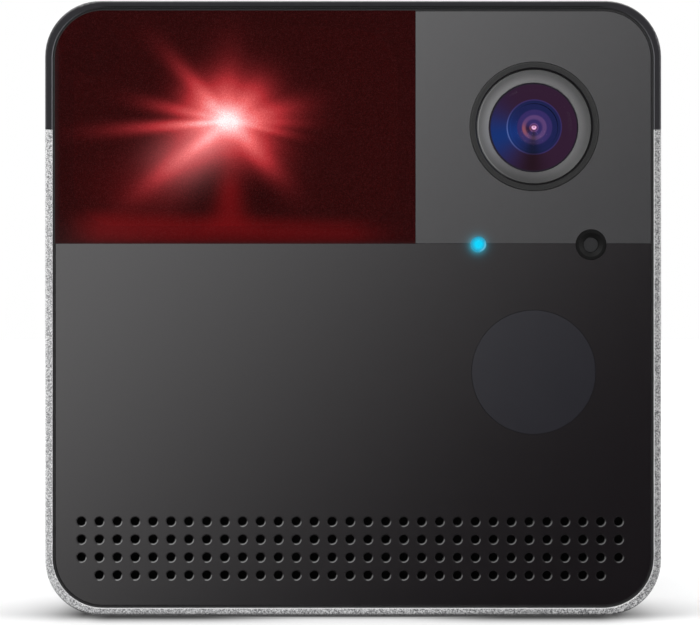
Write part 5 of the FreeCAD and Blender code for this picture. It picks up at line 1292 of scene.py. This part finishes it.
def dress():
    black_moulding = grained("black moulding", (0.011, 0.011, 0.012, 1), 0.5, 2600.0, 0.000012, 0.16)
    dark_moulding = grained("dark moulding", (0.03, 0.03, 0.033, 1), 0.45, 2600.0, 0.000012, 0.14)
    cover_moulding = grained("cover moulding", srgb(44, 43, 47), 0.48, 1900.0, 0.000022, 0.16)
    rubber = grained("foot rubber", (0.016, 0.016, 0.016, 1), 0.78, 1500.0, 0.00003, 0.2)
    white_acetal = grained("white acetal", (0.72, 0.71, 0.67, 1), 0.38, 1800.0, 0.000006, 0.05)
    grey_nylon = grained("grey nylon", (0.18, 0.18, 0.19, 1), 0.5, 2400.0, 0.00001, 0.1)
    brass = grained("brass", (0.78, 0.56, 0.25, 1), 0.28, 4000.0, 0.000004, 0.08, 1.0)
    steel = grained("bright steel", (0.60, 0.59, 0.57, 1), 0.3, 4500.0, 0.000004, 0.08, 1.0)
    tin = grained("tin plate", (0.66, 0.66, 0.64, 1), 0.33, 1200.0, 0.000006, 0.1, 1.0)
    black_steel = grained("blackened steel", (0.05, 0.05, 0.055, 1), 0.35, 3600.0, 0.000005, 0.16, 0.9)
    black_anodised = grained("black anodised", (0.02, 0.02, 0.022, 1), 0.38, 4200.0, 0.000006, 0.12, 0.6)
    cast_alloy = grained("cast alloy", (0.48, 0.48, 0.49, 1), 0.42, 2200.0, 0.00001, 0.1, 1.0)
    green_board = circuit_board("green board", (0.012, 0.062, 0.026, 1), 420.0)
    black_board = circuit_board("black board", (0.008, 0.009, 0.011, 1), 520.0)
    lead_split = middle("speaker_leads").x
    led_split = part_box("ir_leds")[1].y - 0.7 * MM
    filter_split = middle("filter_glasses").z
    finishes = {
        "lower_housing": bead_blasted_aluminium(),
        "top_cap": satin_cap(),
        "foot_pad": rubber,
        "tripod_insert": brass,
        "chassis_frame": black_moulding,
        "front_panel": glossy_panel("black front panel", (0.0062, 0.0048, 0.0058, 1), 0.2, grille=True),
        "camera_panel": glossy_panel("grey front panel", (0.0325, 0.0320, 0.0335, 1), 0.22),
        "laser_window": tinted_window(),
        "ir_window": infrared_filter(),
        "front_carrier": black_moulding,
        "speaker_mesh": speaker_cloth(),
        "light_pipe": lit_light_pipe(),
        "status_led": grained("lit lamp", (0.6, 0.9, 1.0, 1), 0.4, 2000.0, 0.000004, 0.05),
        "sensor_shroud": grained(
            "sensor shroud", (0.003, 0.003, 0.003, 1), 0.6, 2600.0, 0.00001, 0.12, Specular_IOR_Level=0.2,
        ),
        "sensor_lens": grained("smoked lens", (0.026, 0.026, 0.027, 1), 0.25, 900.0, 0.000001, 0.08),
        "front_board": black_board,
        "ir_leds": two_tone("infrared lamp", 1, led_split, (0.10, 0.09, 0.12, 1), (0.7, 0.68, 0.62, 1), 0.2),
        # trim ring: painted shade at its inner edge by the gap
        "lens_trim_ring": ring_finish(
            "trim ring", ((8.1, 0.010), (8.2, 0.012), (8.28, 0.024), (9.0, 0.023)), 0.42, 0.08,
        ),
        # bezel: painted shading, paler by the glass and darker outwards to a painted shade stripe at its
        # outer edge
        "lens_bezel": ring_finish(
            "lens bezel", ((6.3, 0.20), (6.7, 0.17), (7.4, 0.09), (7.9, 0.07), (8.05, 0.01)),
            0.45, 0.2, 0.36, 0.9
        ),
        "lens_barrel": black_anodised,
        "front_lens": coated_front_glass(),
        "inner_lenses": coated_inner_glass(),
        "lens_holder": black_moulding,
        "filter_slider": dark_moulding,
        "filter_glasses": two_tone(
            "filter glass", 2, filter_split, (0.55, 0.60, 0.60, 1), (0.05, 0.20, 0.26, 1), 0.08
        ),
        "filter_solenoid": striped(
            "solenoid coil", 2, 0.25 * MM, (0.30, 0.09, 0.03, 1), (0.70, 0.28, 0.10, 1), 0.35, 0.8,
        ),
        "image_sensor": sensor_chip(),
        "camera_board": green_board,
        "board_ribbons": striped(
            "ribbon cable", 0, 0.5 * MM, (0.62, 0.60, 0.52, 1), (0.80, 0.79, 0.72, 1), 0.42,
        ),
        "speaker_basket": black_moulding,
        "speaker_surround": grained("surround rubber", (0.02, 0.02, 0.02, 1), 0.7, 1600.0, 0.00001, 0.1),
        "speaker_cone": grained("cone paper", (0.05, 0.048, 0.045, 1), 0.85, 900.0, 0.00004, 0.3),
        "voice_coil": striped(
            "voice coil", 1, 0.2 * MM, (0.35, 0.12, 0.04, 1), (0.80, 0.36, 0.14, 1), 0.35, 0.9,
        ),
        "speaker_magnet": steel,
        "speaker_leads": two_tone(
            "speaker leads", 0, lead_split, (0.02, 0.02, 0.02, 1), (0.45, 0.02, 0.015, 1), 0.42,
        ),
        "laser_shroud": black_moulding,
        "pan_bush": white_acetal,
        "pan_clip": steel,
        "pan_motor": tin,
        "pan_pinion": brass,
        "pan_gear": white_acetal,
        "pan_yoke": grey_nylon,
        "tilt_motor": tin,
        "tilt_pinion": brass,
        "tilt_gear": white_acetal,
        "laser_cradle": cast_alloy,
        "laser_barrel": striped(
            "turned brass", 1, 0.35 * MM, (0.62, 0.42, 0.17, 1), (0.82, 0.60, 0.28, 1), 0.25, 1.0,
        ),
        "laser_lens": clear_part("laser glass", (1.0, 0.9, 0.9, 1), 0.02, 1.5),
        "laser_board": green_board,
        "rear_cover": cover_moulding,
        "main_board": green_board,
        "shield_can": tin,
        "heat_sink": grained("black fins", (0.03, 0.03, 0.032, 1), 0.4, 3600.0, 0.000006, 0.12, 0.7),
        "power_socket": steel,
        "switch_body": two_tone(
            "push switch", 1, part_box("switch_body")[1].y - 0.3 * MM, (0.02, 0.02, 0.02, 1),
            (0.5, 0.5, 0.5, 1), 0.4
        ),
        "switch_plunger": dark_moulding,
        "setup_button": grained("button moulding", srgb(70, 69, 73), 0.4, 2600.0, 0.00001, 0.12),
        "wifi_antenna": striped(
            "antenna foil", 0, 3.0 * MM, (0.55, 0.26, 0.07, 1), (0.80, 0.45, 0.18, 1), 0.3, 0.8, 0.00001,
        ),
        "case_screws": black_steel,
        "board_screws": steel,
    }
    missing = sorted(set(nodes) - set(finishes))
    if missing:
        raise RuntimeError(f"no finish for {missing}")
    for name, material in finishes.items():
        nodes[name].data.materials.clear()
        nodes[name].data.materials.append(material)


# Studio


def make_camera():
    data = bpy.data.cameras.new("view")
    data.lens = LENS
    data.sensor_width = SENSOR
    data.clip_start = 0.01
    camera = bpy.data.objects.new("view", data)
    bpy.context.scene.collection.objects.link(camera)
    camera.location = (CAMERA_X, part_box("lower_housing")[0].y - CAMERA_DISTANCE, CAMERA_Z)
    camera.rotation_euler = (math.pi / 2, 0, 0)
    bpy.context.scene.camera = camera
    bpy.context.scene.view_settings.view_transform = "Standard"


def soft_box(name, place, target, size, power):
    data = bpy.data.lights.new(name, "AREA")
    data.shape = "RECTANGLE"
    data.size, data.size_y = size
    data.energy = power
    lamp = bpy.data.objects.new(name, data)
    bpy.context.scene.collection.objects.link(lamp)
    lamp.location = place
    lamp.rotation_euler = (Vector(target) - Vector(place)).to_track_quat("-Z", "Y").to_euler()


def paint_world():
    """White behind the object, soft grey light all round, and a dark studio where the camera stands."""
    world = bpy.data.worlds.new("studio")
    bpy.context.scene.world = world
    world.use_nodes = True
    tree = world.node_tree
    background = tree.nodes["Background"]
    path = add(tree, "LightPath").outputs
    parts = axes(tree, add(tree, "TexCoord").outputs["Generated"])
    toward_camera = times(tree, parts[1], -1.0)
    open_side = between(tree, toward_camera, 0.55, 0.85, 1.0, 0.0)
    open_side = times(tree, open_side, between(tree, parts[2], -0.45, -0.05, 0.4, 1.0))
    ambient = (0.42, 0.42, 0.43, 1)
    mirrored = blend_colours(tree, open_side, (0.01, 0.01, 0.01, 1), (0.9, 0.9, 0.9, 1))
    shown = blend_colours(tree, path["Is Glossy Ray"], ambient, mirrored)
    shown = blend_colours(tree, path["Is Transmission Ray"], shown, mirrored)
    fill(tree, background.inputs["Color"], blend_colours(tree, path["Is Camera Ray"], shown, (1, 1, 1, 1)))


def foot_shade(tree):
    """The object's shade on the floor: full under it, soft in front, and fading away at its sides."""
    low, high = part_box("lower_housing")
    parts = place_axes(tree)
    across = calc(tree, "ABSOLUTE", parts[0])
    gap = calc(tree, "MAXIMUM", minus(tree, across, high.x - 7.4 * MM), 0.0)
    fall = calc(tree, "EXPONENT", over(tree, gap, -7.2 * MM))
    most = between(tree, parts[0], low.x, high.x, 1.40, 1.24)
    side = calc(tree, "MINIMUM", times(tree, most, fall), 1.0)
    depth = minus(tree, parts[1], low.y)
    # weakest in the middle, where the foot is far behind the front
    weak = between(tree, across, 4 * MM, 23 * MM, 0.24, 0.98)
    soft = times(tree, weak, between(tree, depth, -7.8 * MM, 4 * MM))
    under = calc(tree, "MAXIMUM", soft, between(tree, depth, 1.2 * MM, 4.4 * MM))
    fade = between(tree, depth, 6 * MM, 38 * MM, 1.0, 0.1)
    beside = times(tree, between(tree, depth, -7 * MM, 8 * MM), fade)
    outside = between(tree, across, high.x - 9 * MM, high.x - 5 * MM)
    front = add(tree, "Mix", {"Factor": outside, "A": under, "B": beside}).outputs[0]
    end = between(tree, parts[1], high.y - 8 * MM, high.y + 9 * MM, 1.0, 0.0)
    return times(tree, times(tree, side, times(tree, front, end)), 0.93)


def lay_floor():
    """White floor that keeps the object's shade, and can be looked through from below."""
    bpy.ops.mesh.primitive_plane_add(size=8.0, location=(0, 0, -0.02 * MM))
    floor = bpy.context.object
    floor.name = "floor"
    material, tree, shader = blank("floor")
    path = add(tree, "LightPath").outputs
    shade = foot_shade(tree)
    parts = place_axes(tree)
    far = between(tree, distance(tree, parts[0], parts[1]), 0.12, 0.6, 0.60, 1.0)
    seen = blend_colours(tree, far, (0, 0, 0, 1), (1, 1, 1, 1))
    direct = calc(tree, "MAXIMUM", path["Is Camera Ray"], path["Is Transmission Ray"])
    seen = blend_colours(tree, direct, (0, 0, 0, 1), seen)
    fill(tree, shader.inputs["Emission Color"], blend_colours(tree, shade, seen, (0, 0, 0, 1)))
    settings(shader, Emission_Strength=1.0)
    white = blend_colours(tree, direct, (0.86, 0.86, 0.86, 1), (0.45, 0.45, 0.45, 1))
    fill(tree, shader.inputs["Base Color"], blend_colours(tree, shade, white, (0.02, 0.02, 0.02, 1)))
    settings(shader, Roughness=0.9, Specular_IOR_Level=0.0)
    below = add(tree, "NewGeometry").outputs["Backfacing"]
    fill(tree, shader.inputs["Alpha"], minus(tree, 1.0, below))
    floor.data.materials.append(material)
    floor.visible_glossy = False


# Softbox face, its size and place in m. It falls from full to dark along a diagonal, in mm on the panels
CARD_SIZE = 0.9
CARD_PLACE = -0.44
CARD_LIGHT = 3.05
CARD_FULL = -48.0
CARD_DARK = 45.0
CARD_CURVE = 1.55


def hang_card():
    """Softbox face that the front panels mirror: bright at the upper left, dark at the lower right."""
    place = (0, CARD_PLACE, CAMERA_Z)
    bpy.ops.mesh.primitive_plane_add(size=CARD_SIZE, location=place, rotation=(math.pi / 2, 0, 0))
    card = bpy.context.object
    bpy.ops.object.transform_apply(location=True, rotation=True, scale=True)
    card.name = "softbox face"
    material = bpy.data.materials.new("softbox face")
    material.use_nodes = True
    tree = material.node_tree
    tree.nodes.clear()
    parts = place_axes(tree)
    right = times(tree, parts[0], 1 / MM)
    down = times(tree, minus(tree, CAMERA_Z, parts[2]), 1 / MM)
    # the mirrored place on the panels, half as far from the middle
    diagonal = times(tree, plus(tree, right, times(tree, down, 0.9)), 0.5)
    left = over(tree, minus(tree, CARD_DARK, diagonal), CARD_DARK - CARD_FULL, clamp=True)
    strength = times(tree, calc(tree, "POWER", left, CARD_CURVE), CARD_LIGHT)
    glow = add(tree, "Emission", {"Color": (1, 1, 1, 1), "Strength": strength})
    out = tree.nodes.new("ShaderNodeOutputMaterial")
    tree.links.new(glow.outputs[0], out.inputs["Surface"])
    material.cycles.emission_sampling = "NONE"
    card.data.materials.append(material)
    card.visible_camera = False
    card.visible_diffuse = False
    card.visible_transmission = False
    card.visible_shadow = False
    lit = bpy.data.collections.new("lit by the softbox face")
    for name in ("front_panel", "camera_panel", "ir_window"):
        lit.objects.link(nodes[name])
    card.light_linking.receiver_collection = lit


def main():
    clear_selection()
    make_camera()
    paint_world()
    lay_floor()
    clear_selection()
    hang_card()
    clear_selection()
    centre = (0, 0, 0.045)
    soft_box("key light", (-0.55, -0.75, 0.75), centre, (0.5, 0.5), 7.0)
    soft_box("fill light", (0.75, -0.6, 0.35), centre, (0.5, 0.6), 3.0)
    soft_box("top light", (0.0, 0.15, 0.9), centre, (0.6, 0.4), 4.0)
    soft_box("rear light", (0.55, 0.85, 0.55), centre, (0.8, 0.7), 4.2)
    dress()
    populate_boards()
    threaded_insert()
    rubber_roll()
    grille_cloth()
    slot_bead()


main()
